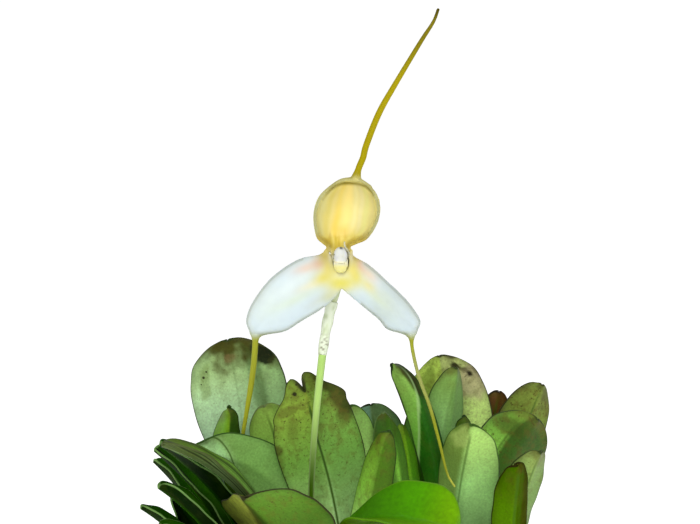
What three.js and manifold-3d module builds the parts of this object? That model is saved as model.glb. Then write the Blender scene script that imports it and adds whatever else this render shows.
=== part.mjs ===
// A masdevallia orchid in flower: a tuft of leathery leaves and one long-tailed bloom, in a clay pot.
// Millimetres, +Z up. The origin is the middle of the pot's underside, and the bloom looks along -Y.
import * as THREE from "three";
import { mergeVertices } from "three/addons/utils/BufferGeometryUtils.js";
import Module from "manifold-3d";

const wasm = await Module();
wasm.setup();

// ---------------------------------------------------------------- driving dimensions

const GAP = 0.3; // between two pieces that touch

const POT = {
  height: 78,
  footRadius: 31,
  shoulderRadius: 41.5, // where the rim band starts
  rimRadius: 46,
  rimHeight: 15,
  wall: 4,
  floor: 5,
  sides: 40,
  drainRadius: 3.5,
  drainCircle: 17,
  drains: 5,
};

const MIX = {
  top: 69, // mean height of the bark surface
  relief: 1.7,
  chips: 90,
  chipSlope: 0.35,
  rings: 9,
  plantingDepth: 6,
  holeRadius: 2,
};

const LEAF = {
  petioleHalfWidth: 1.25,
  petioleThickness: 1.7,
  ribThickness: 1.3,
  edgeThickness: 0.65,
  petioleShare: 0.3, // of the leaf's length
  fold: 16, // degrees each half stands up from the rib
  rise: 0.62, // height of the bend, as a share of the tip's height
  widest: 0.68, // of the blade's length
  notch: 0.25, // how far the tip is set back at the rib
  wave: 0.4,
};

const BLOOM = {
  throat: [-2, -20, 152.9],
  sepalThickness: 0.75,
  hoodDepth: 5.6,
  lateralBulge: 1.5,
  cupRadius: 2.9,
  cupDepth: 4.6,
  cupWall: 0.7,
  mouthRadius: 2.3,
  throatHeight: 1.1, // as a share of its width
  throatCentre: [0.2, -0.2], // across and up, from the sepals' meeting point
};

// ---------------------------------------------------------------- small tools

const vec = (x, y, z) => new THREE.Vector3(x, y, z);
const radians = THREE.MathUtils.degToRad;
const lerp = THREE.MathUtils.lerp;
const smooth = THREE.MathUtils.smoothstep;

// Repeatable random numbers from 0 to 1 (mulberry32).
function seededRandom(seed) {
  let state = seed;
  return () => {
    state = (state + 0x6d2b79f5) | 0;
    let t = Math.imul(state ^ (state >>> 15), 1 | state);
    t = (t + Math.imul(t ^ (t >>> 7), 61 | t)) ^ t;
    return ((t ^ (t >>> 14)) >>> 0) / 4294967296;
  };
}

function geometryOf(points, faces) {
  const geometry = new THREE.BufferGeometry();
  geometry.setAttribute(
    "position",
    new THREE.Float32BufferAttribute(points.flatMap((p) => [p.x, p.y, p.z]), 3),
  );
  geometry.setIndex(faces.flat());
  return geometry;
}

// A thin body between two grids of points with the same rows and columns. Both faces are split alike.
function slab(front, back) {
  const rows = front.length;
  const cols = front[0].length;
  const points = [...front.flat(), ...back.flat()];
  const f = (i, k) => i * cols + k;
  const b = (i, k) => rows * cols + f(i, k);
  const faces = [];
  const quad = (p, q, r, s) => faces.push([p, q, r], [p, r, s]);
  for (let i = 0; i < rows - 1; i++) {
    for (let k = 0; k < cols - 1; k++) {
      quad(f(i, k), f(i, k + 1), f(i + 1, k + 1), f(i + 1, k));
      faces.push(
        [b(i, k), b(i + 1, k + 1), b(i, k + 1)],
        [b(i, k), b(i + 1, k), b(i + 1, k + 1)],
      );
    }
    quad(f(i, 0), f(i + 1, 0), b(i + 1, 0), b(i, 0));
    quad(f(i + 1, cols - 1), f(i, cols - 1), b(i, cols - 1), b(i + 1, cols - 1));
  }
  for (let k = 0; k < cols - 1; k++) {
    quad(f(0, k + 1), f(0, k), b(0, k), b(0, k + 1));
    quad(f(rows - 1, k), f(rows - 1, k + 1), b(rows - 1, k + 1), b(rows - 1, k));
  }
  return geometryOf(points, faces);
}

// A round rod along a curve; radiusAt takes the share of the way along it.
function rod(curve, radiusAt, sides, steps) {
  const frames = curve.computeFrenetFrames(steps);
  const points = [];
  const faces = [];
  for (let i = 0; i <= steps; i++) {
    const centre = curve.getPointAt(i / steps);
    for (let k = 0; k < sides; k++) {
      const angle = (2 * Math.PI * k) / sides;
      points.push(
        centre
          .clone()
          .addScaledVector(frames.normals[i], radiusAt(i / steps) * Math.cos(angle))
          .addScaledVector(frames.binormals[i], radiusAt(i / steps) * Math.sin(angle)),
      );
    }
  }
  for (let i = 0; i < steps; i++) {
    for (let k = 0; k < sides; k++) {
      const a = i * sides + k;
      const b = i * sides + ((k + 1) % sides);
      faces.push([a, b, b + sides], [a, b + sides, a + sides]);
    }
  }
  const last = steps * sides;
  for (let k = 1; k < sides - 1; k++) {
    faces.push([0, k + 1, k], [last, last + k, last + k + 1]);
  }
  return geometryOf(points, faces);
}

const curveThrough = (points) =>
  new THREE.CatmullRomCurve3(points.map((p) => vec(...p)), false, "catmullrom", 0.5);

// A closed geometry as a manifold-3d solid.
function solidOf(geometry) {
  const bare = geometry.clone();
  bare.deleteAttribute("normal");
  bare.deleteAttribute("uv");
  const merged = mergeVertices(bare, 1e-3);
  return new wasm.Manifold(
    new wasm.Mesh({
      numProp: 3,
      vertProperties: new Float32Array(merged.attributes.position.array),
      triVerts: new Uint32Array(merged.index.array),
    }),
  );
}

function geometryOfSolid(solid) {
  const mesh = solid.getMesh();
  const geometry = new THREE.BufferGeometry();
  geometry.setAttribute("position", new THREE.Float32BufferAttribute(mesh.vertProperties, 3));
  geometry.setIndex(new THREE.Uint32BufferAttribute(mesh.triVerts, 1));
  return geometry;
}

// ---------------------------------------------------------------- clay pot and bark mix

// The pot's inner radius at a height.
const innerRadius = (z) =>
  lerp(POT.footRadius, POT.shoulderRadius, z / (POT.height - POT.rimHeight)) - POT.wall;

function potGeometry() {
  const bandFoot = POT.height - POT.rimHeight;
  const lip = 1.2;
  const profile = [
    [0, 0],
    [POT.footRadius - lip, 0],
    [POT.footRadius, lip],
    [POT.shoulderRadius, bandFoot],
    [POT.rimRadius - lip, bandFoot],
    [POT.rimRadius, bandFoot + lip],
    [POT.rimRadius + 0.6, POT.height - lip],
    [POT.rimRadius - lip, POT.height],
    [innerRadius(POT.height) + lip, POT.height],
    [innerRadius(POT.height), POT.height - lip],
    [innerRadius(POT.floor), POT.floor],
    [0, POT.floor],
  ].map(([r, z]) => new THREE.Vector2(r, z));
  const wall = new THREE.LatheGeometry(profile, POT.sides).rotateX(Math.PI / 2);
  let solid = solidOf(wall);
  for (let i = 0; i < POT.drains; i++) {
    const angle = (2 * Math.PI * i) / POT.drains;
    const drain = new THREE.CylinderGeometry(POT.drainRadius, POT.drainRadius, 3 * POT.floor, 10)
      .rotateX(Math.PI / 2)
      .translate(POT.drainCircle * Math.cos(angle), POT.drainCircle * Math.sin(angle), 0);
    solid = solid.subtract(solidOf(drain));
  }
  return geometryOfSolid(solid);
}

// Bark chips as flat tilted facets: each point of the surface belongs to the nearest chip.
function barkHeight(chips, x, y) {
  let nearest = chips[0];
  for (const chip of chips) {
    if (Math.hypot(x - chip.x, y - chip.y) < Math.hypot(x - nearest.x, y - nearest.y)) {
      nearest = chip;
    }
  }
  const tilt = nearest.slopeX * (x - nearest.x) + nearest.slopeY * (y - nearest.y);
  return MIX.top + nearest.rise + THREE.MathUtils.clamp(tilt, -MIX.relief, MIX.relief);
}

function mixGeometry(plantingPoints) {
  const random = seededRandom(11);
  const outer = innerRadius(MIX.top) - GAP;
  const chips = Array.from({ length: MIX.chips }, () => {
    const radius = outer * Math.sqrt(random());
    const angle = 2 * Math.PI * random();
    return {
      x: radius * Math.cos(angle),
      y: radius * Math.sin(angle),
      rise: MIX.relief * (random() - 0.5),
      slopeX: MIX.chipSlope * (2 * random() - 1),
      slopeY: MIX.chipSlope * (2 * random() - 1),
    };
  });
  const bottom = POT.floor + GAP;
  const profile = [new THREE.Vector2(0, bottom), new THREE.Vector2(innerRadius(bottom) - GAP, bottom)];
  for (let i = 0; i <= MIX.rings; i++) {
    profile.push(new THREE.Vector2(outer * (1 - i / MIX.rings), MIX.top));
  }
  const plug = new THREE.LatheGeometry(profile, POT.sides).rotateX(Math.PI / 2);
  const position = plug.attributes.position;
  for (let i = 0; i < position.count; i++) {
    const [x, y, z] = [position.getX(i), position.getY(i), position.getZ(i)];
    if (z > MIX.top - 1 && Math.hypot(x, y) < outer - 0.01) {
      position.setZ(i, barkHeight(chips, x, y));
    }
  }
  let solid = solidOf(plug);
  const depth = MIX.plantingDepth + GAP;
  for (const [x, y] of plantingPoints) {
    const hole = new THREE.CylinderGeometry(MIX.holeRadius, MIX.holeRadius, 2 * depth, 6)
      .rotateX(Math.PI / 2)
      .translate(x, y, MIX.top);
    solid = solid.subtract(solidOf(hole));
  }
  return geometryOfSolid(solid);
}

// ---------------------------------------------------------------- leaves

// Rows along the leaf: two down the petiole, then the blade, closer together round the tip.
const PETIOLE_ROWS = [0, 0.55];
const BLADE_ROWS = [0.04, 0.22, 0.42, 0.58, 0.72, 0.84, 0.93, 0.98, 1];
const COLUMNS = [-1, -0.5, 0, 0.5, 1];

// Half the blade's width at a share of its length, as a share of its greatest: tapering foot, round tip.
function bladeShape(share, widest) {
  const tip = 0.42;
  const foot = (tip * widest) / (1 - widest);
  const blunt = 0.992; // the last row stops here, so that it keeps a width
  const width = (q) => q ** foot * (1 - q) ** tip;
  return width(Math.min(share, blunt)) / width(widest);
}

// One leaf as a slab: a petiole planted upright, bending over into a folded blade.
// Its underside looks along face, in degrees round from the bloom's own direction towards +X.
function leafGeometry(leaf, grow = 0) {
  const foot = vec(leaf.foot[0], leaf.foot[1], MIX.top - MIX.plantingDepth);
  const tip = vec(...leaf.tip);
  const bend = vec(foot.x, foot.y, lerp(foot.z, tip.z, leaf.rise ?? LEAF.rise));
  const spine = new THREE.QuadraticBezierCurve3(foot, bend, tip);
  const face = radians(leaf.face);
  const petiole = leaf.petiole ?? LEAF.petioleShare;
  const fold = Math.tan(radians(leaf.fold ?? LEAF.fold));
  const stations = [
    ...PETIOLE_ROWS.map((share) => petiole * share),
    ...BLADE_ROWS.map((share) => lerp(petiole, 1, share)),
  ];
  const front = [];
  const back = [];
  for (const station of stations) {
    const blade = Math.max(0, (station - petiole) / (1 - petiole));
    const along = spine.getTangentAt(station);
    const side = vec(-Math.cos(face), -Math.sin(face), 0)
      .projectOnPlane(along)
      .normalize()
      .applyAxisAngle(along, radians(leaf.roll ?? 0));
    const up = side.clone().cross(along);
    const width = (leaf.width / 2) * bladeShape(blade, leaf.widest ?? LEAF.widest);
    const half = Math.max(LEAF.petioleHalfWidth * (1 - blade), width);
    const opened = smooth(blade, 0, 0.25);
    const setBack = (leaf.notch ?? LEAF.notch) * smooth(blade, 0.95, 1);
    const frontRow = [];
    const backRow = [];
    for (const s of COLUMNS) {
      const wave = LEAF.wave * s * s * Math.sin(7 * blade + (s > 0 ? 2 : 0) + leaf.foot[0]) * opened;
      const lift = fold * half * Math.abs(s) ** 1.3 * lerp(0.35, 1, opened) + wave;
      const rib = lerp(LEAF.petioleThickness, LEAF.ribThickness, opened);
      const edge = lerp(1.0, LEAF.edgeThickness, opened);
      const steepness = Math.hypot(1, 1.3 * fold * Math.abs(s) * opened);
      const thickness = lerp(rib, edge, Math.abs(s)) * steepness + 2 * grow;
      const middle = spine
        .getPointAt(station)
        .addScaledVector(along, -setBack * Math.max(0, 1 - 2 * Math.abs(s)))
        .addScaledVector(side, s * (half + grow))
        .addScaledVector(up, lift);
      frontRow.push(middle.clone().addScaledVector(up, thickness / 2));
      backRow.push(middle.clone().addScaledVector(up, -thickness / 2));
    }
    front.push(frontRow);
    back.push(backRow);
  }
  return slab(front, back);
}

// foot [x, y], tip [x, y, z] and width in millimetres, face and fold in degrees.
const LEAVES = [
  // broad ones that show their undersides to the front, left to right
  { foot: [0, -11], tip: [-11.2, -14.5, 127], width: 18, face: 8, fold: 9, notch: 2 },
  { foot: [-20, 4], tip: [-26, 5, 133], width: 21, face: -5, fold: 7, widest: 0.77 },
  { foot: [-3, -23.5], tip: [-20.5, -35, 108], width: 22, face: -32, fold: 20, widest: 0.74 },
  { foot: [-3, -7], tip: [-32.5, -14, 113.5], width: 12.5, face: 4, fold: 8, rise: 0.92, widest: 0.6 },
  { foot: [-14, -2], tip: [-27.3, -6, 120.5], width: 6, face: -10, fold: 32 },
  { foot: [-10, 1], tip: [-18, -1, 120], width: 13, face: -10, fold: 12 },
  { foot: [23, -11], tip: [24.8, -17, 119], width: 12.8, face: -16, fold: 18 },
  { foot: [1, -15], tip: [7.5, -20, 118], width: 8, face: -20, fold: 26, widest: 0.5 },
  { foot: [21, -6.5], tip: [8.8, -7, 129.5], width: 6, face: 12, fold: 36, rise: 0.85 },
  { foot: [19, 2], tip: [22.3, 2, 127.5], width: 9.5, face: 24, fold: 26 },
  { foot: [25, 9], tip: [19.3, 9, 129], width: 17.5, face: 4, fold: 8 },
  { foot: [24, -2], tip: [39.5, 0, 117], width: 19, face: 22, fold: 16 },
  { foot: [32.3, -16], tip: [34, -21, 111.5], width: 7.5, face: 16, fold: 32 },
  // the young leaf that lies forwards over the others
  {
    foot: [-14.5, -17.3],
    tip: [20.5, -37, 102.3],
    width: 14.5,
    face: 30,
    fold: 30,
    roll: 25,
    rise: 1.16,
    petiole: 0.58,
    young: true,
  },
  // narrow or half hidden ones
  { foot: [4, 2], tip: [0, -1, 120], width: 10, face: 10 },
  { foot: [8, 9], tip: [4.5, 9, 118.5], width: 14, face: 0 },
  { foot: [12, -1], tip: [5.7, 2, 118.5], width: 8, face: 36, fold: 24, rise: 0.8 },
  { foot: [15, 3], tip: [11.3, 5, 115], width: 6.5, face: 25 },
  { foot: [25.5, -6], tip: [23.7, -6, 118.5], width: 5.5, face: 10 },
  { foot: [28, 16], tip: [32.5, 14, 120.5], width: 9, face: 5 },
  { foot: [31, 8], tip: [41.5, 11, 122.5], width: 13, face: 25 },
  { foot: [31, -9], tip: [38.5, -15, 113.5], width: 11, face: 35 },
  // the fan that sweeps out to the left
  { foot: [-11, -13], tip: [-37.5, -22, 116.5], width: 9, face: -84, fold: 24, rise: 0.8 },
  { foot: [-15, -5], tip: [-39, -11, 114], width: 12, face: -78 },
  { foot: [-18, -14], tip: [-38.5, -20, 107], width: 12, face: -74 },
  { foot: [-20, -1], tip: [-41, -2, 111], width: 12, face: -90 },
  { foot: [-12, -21], tip: [-36, -31, 102], width: 12, face: -66 },
  { foot: [-23, -9], tip: [-43, -12, 101], width: 11, face: -82 },
  { foot: [-21, -19], tip: [-39.5, -27, 98], width: 10, face: -70 },
  { foot: [-24, 3], tip: [-42, 6, 107], width: 12, face: -94 },
  // tall ones at the back
  { foot: [-10, 12], tip: [-25, 21, 122], width: 15, face: -145 },
  { foot: [-1, 12], tip: [-8, 23, 118], width: 14, face: 170 },
  { foot: [17, 15], tip: [21, 25, 119], width: 15, face: 165 },
];

// Leaves round the skirt of the tuft, by a rule: an arc of directions, each leaf leaning straight out.
const SKIRTS = [
  { count: 4, from: -36, to: 50, footRadius: 29.5, reach: 43, height: 97, width: 9.5 },
  { count: 7, from: 138, to: 250, footRadius: 25, reach: 41, height: 101, width: 14 },
];

function skirtLeaves() {
  const random = seededRandom(5);
  const around = (middle, spread) => middle + spread * (2 * random() - 1);
  return SKIRTS.flatMap((skirt) =>
    Array.from({ length: skirt.count }, (_, i) => {
      const face = around(lerp(skirt.from, skirt.to, i / (skirt.count - 1)), 4);
      const [x, y] = [Math.sin(radians(face)), -Math.cos(radians(face))];
      const reach = around(skirt.reach, 3);
      return {
        foot: [skirt.footRadius * x, skirt.footRadius * y],
        tip: [reach * x, reach * y, around(skirt.height, 3)],
        width: around(skirt.width, 2),
        face: around(face, 12),
      };
    }),
  );
}

// The leaf as given, or with its tip swung away in a widening spiral until it clears all that stands.
function swungClear(leaf, standing) {
  const mostSwings = 200;
  const goldenAngle = 2.4;
  const touching = 1e-4; // cubic millimetres
  for (let i = 0; i < mostSwings; i++) {
    const radius = 0.7 * Math.sqrt(i);
    const angle = goldenAngle * i;
    const tried = {
      ...leaf,
      tip: [
        leaf.tip[0] + radius * Math.cos(angle),
        leaf.tip[1] + radius * Math.sin(angle),
        leaf.tip[2] - 0.3 * radius,
      ],
      face: leaf.face + 3 * radius * Math.cos(1.7 * angle),
    };
    const grown = solidOf(leafGeometry(tried, GAP / 2));
    if (standing.every((other) => grown.intersect(other).volume() < touching)) {
      return tried;
    }
  }
  throw new Error("no room for the leaf at " + leaf.foot);
}

// ---------------------------------------------------------------- bloom

// The middle surface between two margins, bowed out by bow(share along, share across), in grid rows.
function sheetBetween(left, right, bow, rows, cols) {
  const grid = [];
  for (let i = 0; i <= rows; i++) {
    const along = i / rows;
    const [a, b] = [left.getPoint(along), right.getPoint(along)];
    grid.push(
      Array.from({ length: cols + 1 }, (_, k) => {
        const angle = Math.PI * (k / cols - 0.5);
        const across = (Math.sin(angle) + 1) / 2;
        return a.clone().lerp(b, across).addScaledVector(vec(0, 1, 0), bow(along, Math.cos(angle)));
      }),
    );
  }
  return grid;
}

// A slab of even thickness round a grid of points, offset along the grid's own normals.
function thickened(grid, thickness) {
  const at = (i, k) =>
    grid[THREE.MathUtils.clamp(i, 0, grid.length - 1)][THREE.MathUtils.clamp(k, 0, grid[0].length - 1)];
  const offset = (distance) =>
    grid.map((row, i) =>
      row.map((point, k) => {
        const along = at(i + 1, k).clone().sub(at(i - 1, k));
        const across = at(i, k + 1).clone().sub(at(i, k - 1));
        return point.clone().addScaledVector(across.cross(along).normalize(), distance);
      }),
    );
  return slab(offset(thickness / 2), offset(-thickness / 2));
}

const atThroat = (geometry) => geometry.translate(...BLOOM.throat);

// A solid turned about the throat's own axis, from a profile of [radius, depth behind the throat].
function turnedAroundThroat(profile) {
  const [x, z] = BLOOM.throatCentre;
  const turned = new THREE.LatheGeometry(profile.map(([r, y]) => new THREE.Vector2(r, y)), 14);
  return solidOf(turned.scale(1, 1, BLOOM.throatHeight).translate(x, 0, z));
}

// All bloom shapes below are given from the throat.
function dorsalSepalGeometry() {
  const left = curveThrough([
    [-2.4, 1.0, 2.8], [-3.4, 0.2, 3.7], [-4.5, 0, 5.0], [-5.0, 0, 8.8],
    [-4.2, 0, 12.1], [-2.4, 0, 14.2], [0, -0.4, 16.0], [2.3, -0.9, 16.5],
  ]);
  const right = curveThrough([
    [1.8, 1.0, 2.8], [3.6, 0.2, 3.7], [5.3, 0, 4.6], [7.1, 0, 7.4],
    [7.7, 0, 10.3], [7.1, 0, 12.9], [5.6, -0.4, 15.1], [3.9, -0.9, 16.3],
  ]);
  const bow = (along, middle) => {
    const deep = BLOOM.hoodDepth * Math.sin(Math.PI * lerp(0.1, 0.98, along)) ** 0.75;
    return deep * middle ** 0.8;
  };
  const hood = thickened(sheetBetween(left, right, bow, 11, 8), BLOOM.sepalThickness);
  const clearance = turnedAroundThroat([
    [0, -4],
    [BLOOM.cupRadius + GAP, -4],
    [BLOOM.cupRadius + GAP, 2],
    [1.5, BLOOM.cupDepth + GAP],
    [0, BLOOM.cupDepth + GAP],
  ]);
  return atThroat(geometryOfSolid(solidOf(hood).subtract(clearance)));
}

function lateralSepalGeometry(upper, lower) {
  const bow = (along, middle) =>
    -BLOOM.lateralBulge * middle * Math.sin(Math.PI * lerp(0.1, 1, along));
  const sheet = sheetBetween(curveThrough(upper), curveThrough(lower), bow, 11, 6);
  return thickened(sheet, BLOOM.sepalThickness);
}

// The two lateral sepals, joined at their base to the short cup behind the throat.
function lateralSepalsGeometry() {
  const left = lateralSepalGeometry(
    [
      [-2.6, 1.2, 2.2], [-4, 0.9, 0.9], [-8.4, 0.3, -0.1], [-13.6, 0, -3.7],
      [-17.3, 0.4, -8.6], [-18.6, 1.0, -12.1], [-18.1, 1.4, -14.2], [-17.8, 1.6, -15.4],
    ],
    [
      [0.9, 1.2, -5.0], [-1.2, 1.0, -7.7], [-4, 0.7, -9.7], [-8, 0.4, -12.1],
      [-11, 0.6, -14], [-14.4, 1.0, -14.7], [-15.8, 1.4, -15.1], [-16.3, 1.6, -15.6],
    ],
  );
  const right = lateralSepalGeometry(
    [
      [-0.9, 1.2, -5.0], [1.2, 1.1, -6.7], [5, 0.9, -9.3], [7.9, 0.8, -11.7],
      [9.6, 1.1, -13.7], [12, 1.4, -14.5], [13.3, 1.6, -15.0], [13.7, 1.7, -15.6],
    ],
    [
      [2.2, 1.2, 2.2], [2.6, 1.0, 0.6], [5.6, 0.4, -1.1], [9.6, 0.2, -4.7],
      [13.4, 0.5, -8.5], [15.8, 1.1, -12.1], [15.5, 1.5, -13.9], [15, 1.7, -15.4],
    ],
  );
  const cup = turnedAroundThroat([
    [0, 3.7],
    [1.7, 3.1],
    [BLOOM.cupRadius - BLOOM.cupWall, 1.2],
    [BLOOM.cupRadius, 1.4],
    [2.2, 3.7],
    [1.0, BLOOM.cupDepth],
    [0, BLOOM.cupDepth],
  ]);
  const mouth = turnedAroundThroat([
    [0, -4],
    [BLOOM.mouthRadius, -4],
    [BLOOM.mouthRadius, 1.6],
    [0, 1.6],
  ]);
  const joined = solidOf(left).add(solidOf(right)).add(cup).subtract(mouth);
  // Where the sheets meet they shut in a small pocket, which the outer skin alone leaves filled.
  const [skin] = joined.decompose().sort((a, b) => b.volume() - a.volume());
  return atThroat(geometryOfSolid(skin));
}

// A tail thins from its root to its tip, and its root flares.
const tailRadius = (root, middle, end) => (share) =>
  lerp(lerp(root, middle, smooth(share, 0, 0.12)), end, smooth(share, 0.5, 1));

const DORSAL_TAIL = [
  [3.2, -0.9, 17.0], [3.7, -0.7, 18.4], [4.6, -0.3, 20.6], [5.3, 0.3, 23.2], [7.8, 1.4, 29.4],
  [10.9, 2.2, 34.9], [16.1, 3.4, 43.5], [18.6, 4.0, 47.4], [19.7, 4.4, 50.2],
];
const LEFT_TAIL = [
  [-17.1, 1.6, -15.9], [-17.2, 1.9, -18.2], [-17.6, 3.2, -22.2], [-18.4, 5.4, -27.4], [-19.2, 7.6, -31.8],
  [-20.2, 10, -37.4],
];
const RIGHT_TAIL = [
  [14.4, 1.7, -15.9], [14.6, 1.6, -18.2], [15.9, 1.2, -23.7], [18.1, 0.4, -29.7], [20, -0.4, -36.7],
  [21.6, -1.2, -43], [23.2, -1.8, -45.8],
];

function tailGeometry(points, root, middle, end) {
  return atThroat(rod(curveThrough(points), tailRadius(root, middle, end), 7, 16));
}

function columnGeometry() {
  const curve = curveThrough([[0, 3.1, -0.4], [0, 1.8, 0.1], [0, 0.5, 0.85]]);
  const column = rod(curve, (share) => lerp(0.75, 1.15, smooth(share, 0, 0.7)), 8, 5);
  return atThroat(column.translate(BLOOM.throatCentre[0], 0, 0));
}

// An oblong petal that stands beside the column and cups it.
function petalGeometry(side) {
  const rows = [[2.3, 1.3], [1.3, 1.5], [0.3, 1.65], [-0.6, 1.45]]; // behind the throat, half spread
  const grid = rows.map(([y, out]) =>
    [-1.1, -0.3, 0.6, 1.3].map((z, k) => vec(side * (out - (k % 3 ? 0 : 0.2)), y, z)),
  );
  const ordered = side > 0 ? grid : grid.map((row) => row.reverse());
  return atThroat(thickened(ordered, 0.6).translate(BLOOM.throatCentre[0], 0, 0));
}

// The lip: a tongue that runs forwards under the column and turns down at its tip.
function lipGeometry() {
  const spine = curveThrough([
    [0, 2.4, -1.6], [0, 1.0, -1.65], [0, -0.3, -1.7], [0, -1.1, -2.7],
  ]);
  const widths = [0.6, 0.9, 1.1, 1.15, 0.6];
  const grid = widths.map((half, i) => {
    const middle = spine.getPointAt(i / (widths.length - 1));
    return [-1, 0, 1].map((s) => vec(s * half, middle.y, middle.z + 0.2 * s * s));
  });
  return atThroat(thickened(grid, 0.7).translate(BLOOM.throatCentre[0], 0, 0));
}

// ---------------------------------------------------------------- flower stem

const OVARY = [
  [0.1, 5.35, -0.2], [0.1, 6.5, -1.5], [-0.1, 6.8, -4.2], [-0.8, 6.5, -7.2], [-1.6, 6.3, -9.0],
];
const BRACT = [
  [-1.7, 6.3, -9.35], [-2.3, 6.1, -12], [-3.0, 5.5, -15.5], [-3.6, 4.7, -19.6],
];
const STEM_BELOW_BRACT = [
  [-3.65, 4.6, -19.95], [-4.2, 4.0, -25], [-5.0, 3.2, -33], [-5.7, 2.4, -43], [-5.9, 2.0, -52],
];

const stemFoot = [-7.8, -18]; // on the bark, from the pot's axis

function ovaryGeometry() {
  const swell = (share) => lerp(lerp(0.9, 1.2, smooth(share, 0, 0.25)), 0.85, smooth(share, 0.3, 0.75));
  return atThroat(rod(curveThrough(OVARY), swell, 8, 8));
}

function bractGeometry() {
  return atThroat(rod(curveThrough(BRACT), (share) => lerp(1.3, 0.95, share), 8, 6));
}

function stemGeometry() {
  const [x, y, z] = BLOOM.throat;
  const foot = [stemFoot[0] - x, stemFoot[1] - y, MIX.top - MIX.plantingDepth - z];
  const curve = curveThrough([...STEM_BELOW_BRACT, foot]);
  return atThroat(rod(curve, (share) => lerp(0.85, 0.65, smooth(share, 0, 0.7)), 8, 14));
}

// ---------------------------------------------------------------- the plant

const COLOURS = {
  clay: "#b5694a",
  bark: "#5b4130",
  leaf: "#6f9a4c",
  youngLeaf: "#5f9f0c",
  stem: "#9cc060",
  bract: "#dfe6c4",
  ovary: "#a9b58a",
  hood: "#f0df7c",
  sepal: "#eaf2e4",
  tail: "#a79b14",
  column: "#f2f0e4",
  lip: "#f1e79c",
};

const plant = new THREE.Group();

function addPiece(name, geometry, colour, roughness) {
  const material = new THREE.MeshStandardMaterial({ color: COLOURS[colour], roughness, metalness: 0 });
  const mesh = new THREE.Mesh(geometry, material);
  mesh.name = name;
  plant.add(mesh);
  return mesh;
}

addPiece("dorsal_sepal", dorsalSepalGeometry(), "hood", 0.55);
addPiece("lateral_sepals", lateralSepalsGeometry(), "sepal", 0.55);
addPiece("dorsal_tail", tailGeometry(DORSAL_TAIL, 0.95, 0.65, 0.35), "tail", 0.5);
addPiece("left_tail", tailGeometry(LEFT_TAIL, 0.9, 0.62, 0.45), "tail", 0.5);
addPiece("right_tail", tailGeometry(RIGHT_TAIL, 0.8, 0.5, 0.35), "tail", 0.5);
addPiece("column", columnGeometry(), "column", 0.4);
addPiece("left_petal", petalGeometry(-1), "column", 0.4);
addPiece("right_petal", petalGeometry(1), "column", 0.4);
addPiece("lip", lipGeometry(), "lip", 0.5);
addPiece("ovary", ovaryGeometry(), "ovary", 0.6);
addPiece("floral_bract", bractGeometry(), "bract", 0.7);
addPiece("flower_stem", stemGeometry(), "stem", 0.5);

const standing = plant.children.map((mesh) => solidOf(mesh.geometry));
const leaves = [...LEAVES, ...skirtLeaves()].map((leaf, i) => {
  const stood = swungClear(leaf, standing);
  const geometry = leafGeometry(stood);
  standing.push(solidOf(geometry));
  const name = "leaf_" + String(i + 1).padStart(2, "0");
  addPiece(name, geometry, leaf.young ? "youngLeaf" : "leaf", 0.45);
  return stood;
});

addPiece("bark_mix", mixGeometry([stemFoot, ...leaves.map((leaf) => leaf.foot)]), "bark", 0.95);
addPiece("clay_pot", potGeometry(), "clay", 0.85);

export default plant;
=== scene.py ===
"""Looks of a potted masdevallia orchid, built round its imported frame.

Blender works in metres, and the sizes below are in millimetres, in the frame's own axes: +Z up, the bloom
looking along -Y, the origin under the middle of the pot. Each sub-assembly is a class that builds its meshes
and dresses them.
"""

import logging
import math
import random
from collections.abc import Callable, Sequence
from dataclasses import dataclass, field, replace
from enum import Enum

import bmesh
import bpy
import numpy as np
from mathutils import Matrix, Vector, noise


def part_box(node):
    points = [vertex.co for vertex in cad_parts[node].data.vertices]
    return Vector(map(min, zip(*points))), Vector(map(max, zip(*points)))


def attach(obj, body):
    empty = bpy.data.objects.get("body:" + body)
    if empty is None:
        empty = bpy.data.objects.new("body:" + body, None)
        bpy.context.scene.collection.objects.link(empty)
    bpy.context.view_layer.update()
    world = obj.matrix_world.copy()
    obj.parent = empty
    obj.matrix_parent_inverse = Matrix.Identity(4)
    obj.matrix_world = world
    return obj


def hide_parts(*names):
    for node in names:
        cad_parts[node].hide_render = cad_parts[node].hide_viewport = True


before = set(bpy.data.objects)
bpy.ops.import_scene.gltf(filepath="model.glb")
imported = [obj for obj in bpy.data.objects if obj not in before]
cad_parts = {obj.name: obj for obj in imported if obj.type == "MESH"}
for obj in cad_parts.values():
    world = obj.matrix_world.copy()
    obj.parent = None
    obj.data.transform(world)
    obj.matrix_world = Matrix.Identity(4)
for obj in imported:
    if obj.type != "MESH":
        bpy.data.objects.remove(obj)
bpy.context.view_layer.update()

log = logging.getLogger("orchid")

Array = np.ndarray
Material = bpy.types.Material
Node = bpy.types.Node
Piece = bpy.types.Object
Point = tuple[float, float, float]
Route = Sequence[Point]
Socket = bpy.types.NodeSocket
Tree = bpy.types.NodeTree
Radius = Callable[[Array], Array]  # a radius, from the share of the way along
Surface = Callable[[Array, Array], Array]  # points, from places across and along

MM = 0.001
WELD = 1e-6  # in metres: vertices closer than this become one
NOISE_SHIFT = (17.3, 5.1, 9.7)  # how far one seed moves the noise
ROOT = "root"
THROAT: Point = (-2.0, -20.0, 152.9)  # the middle of the bloom's mouth


# ---- small tools


def linear(code: str) -> tuple[float, float, float, float]:
    """Turns an sRGB hex colour to linear light.

    Args:
        code: the colour as #RRGGBB.

    Returns:
        Red, green, blue and an alpha of 1.
    """
    channels = [int(code[i : i + 2], 16) / 255 for i in (1, 3, 5)]
    light = [c / 12.92 if c <= 0.04045 else ((c + 0.055) / 1.055) ** 2.4 for c in channels]
    return (light[0], light[1], light[2], 1.0)


def rgb(code: str) -> Array:
    """Gives a hex colour as a linear array of three."""
    return np.array(linear(code)[:3])


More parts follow.
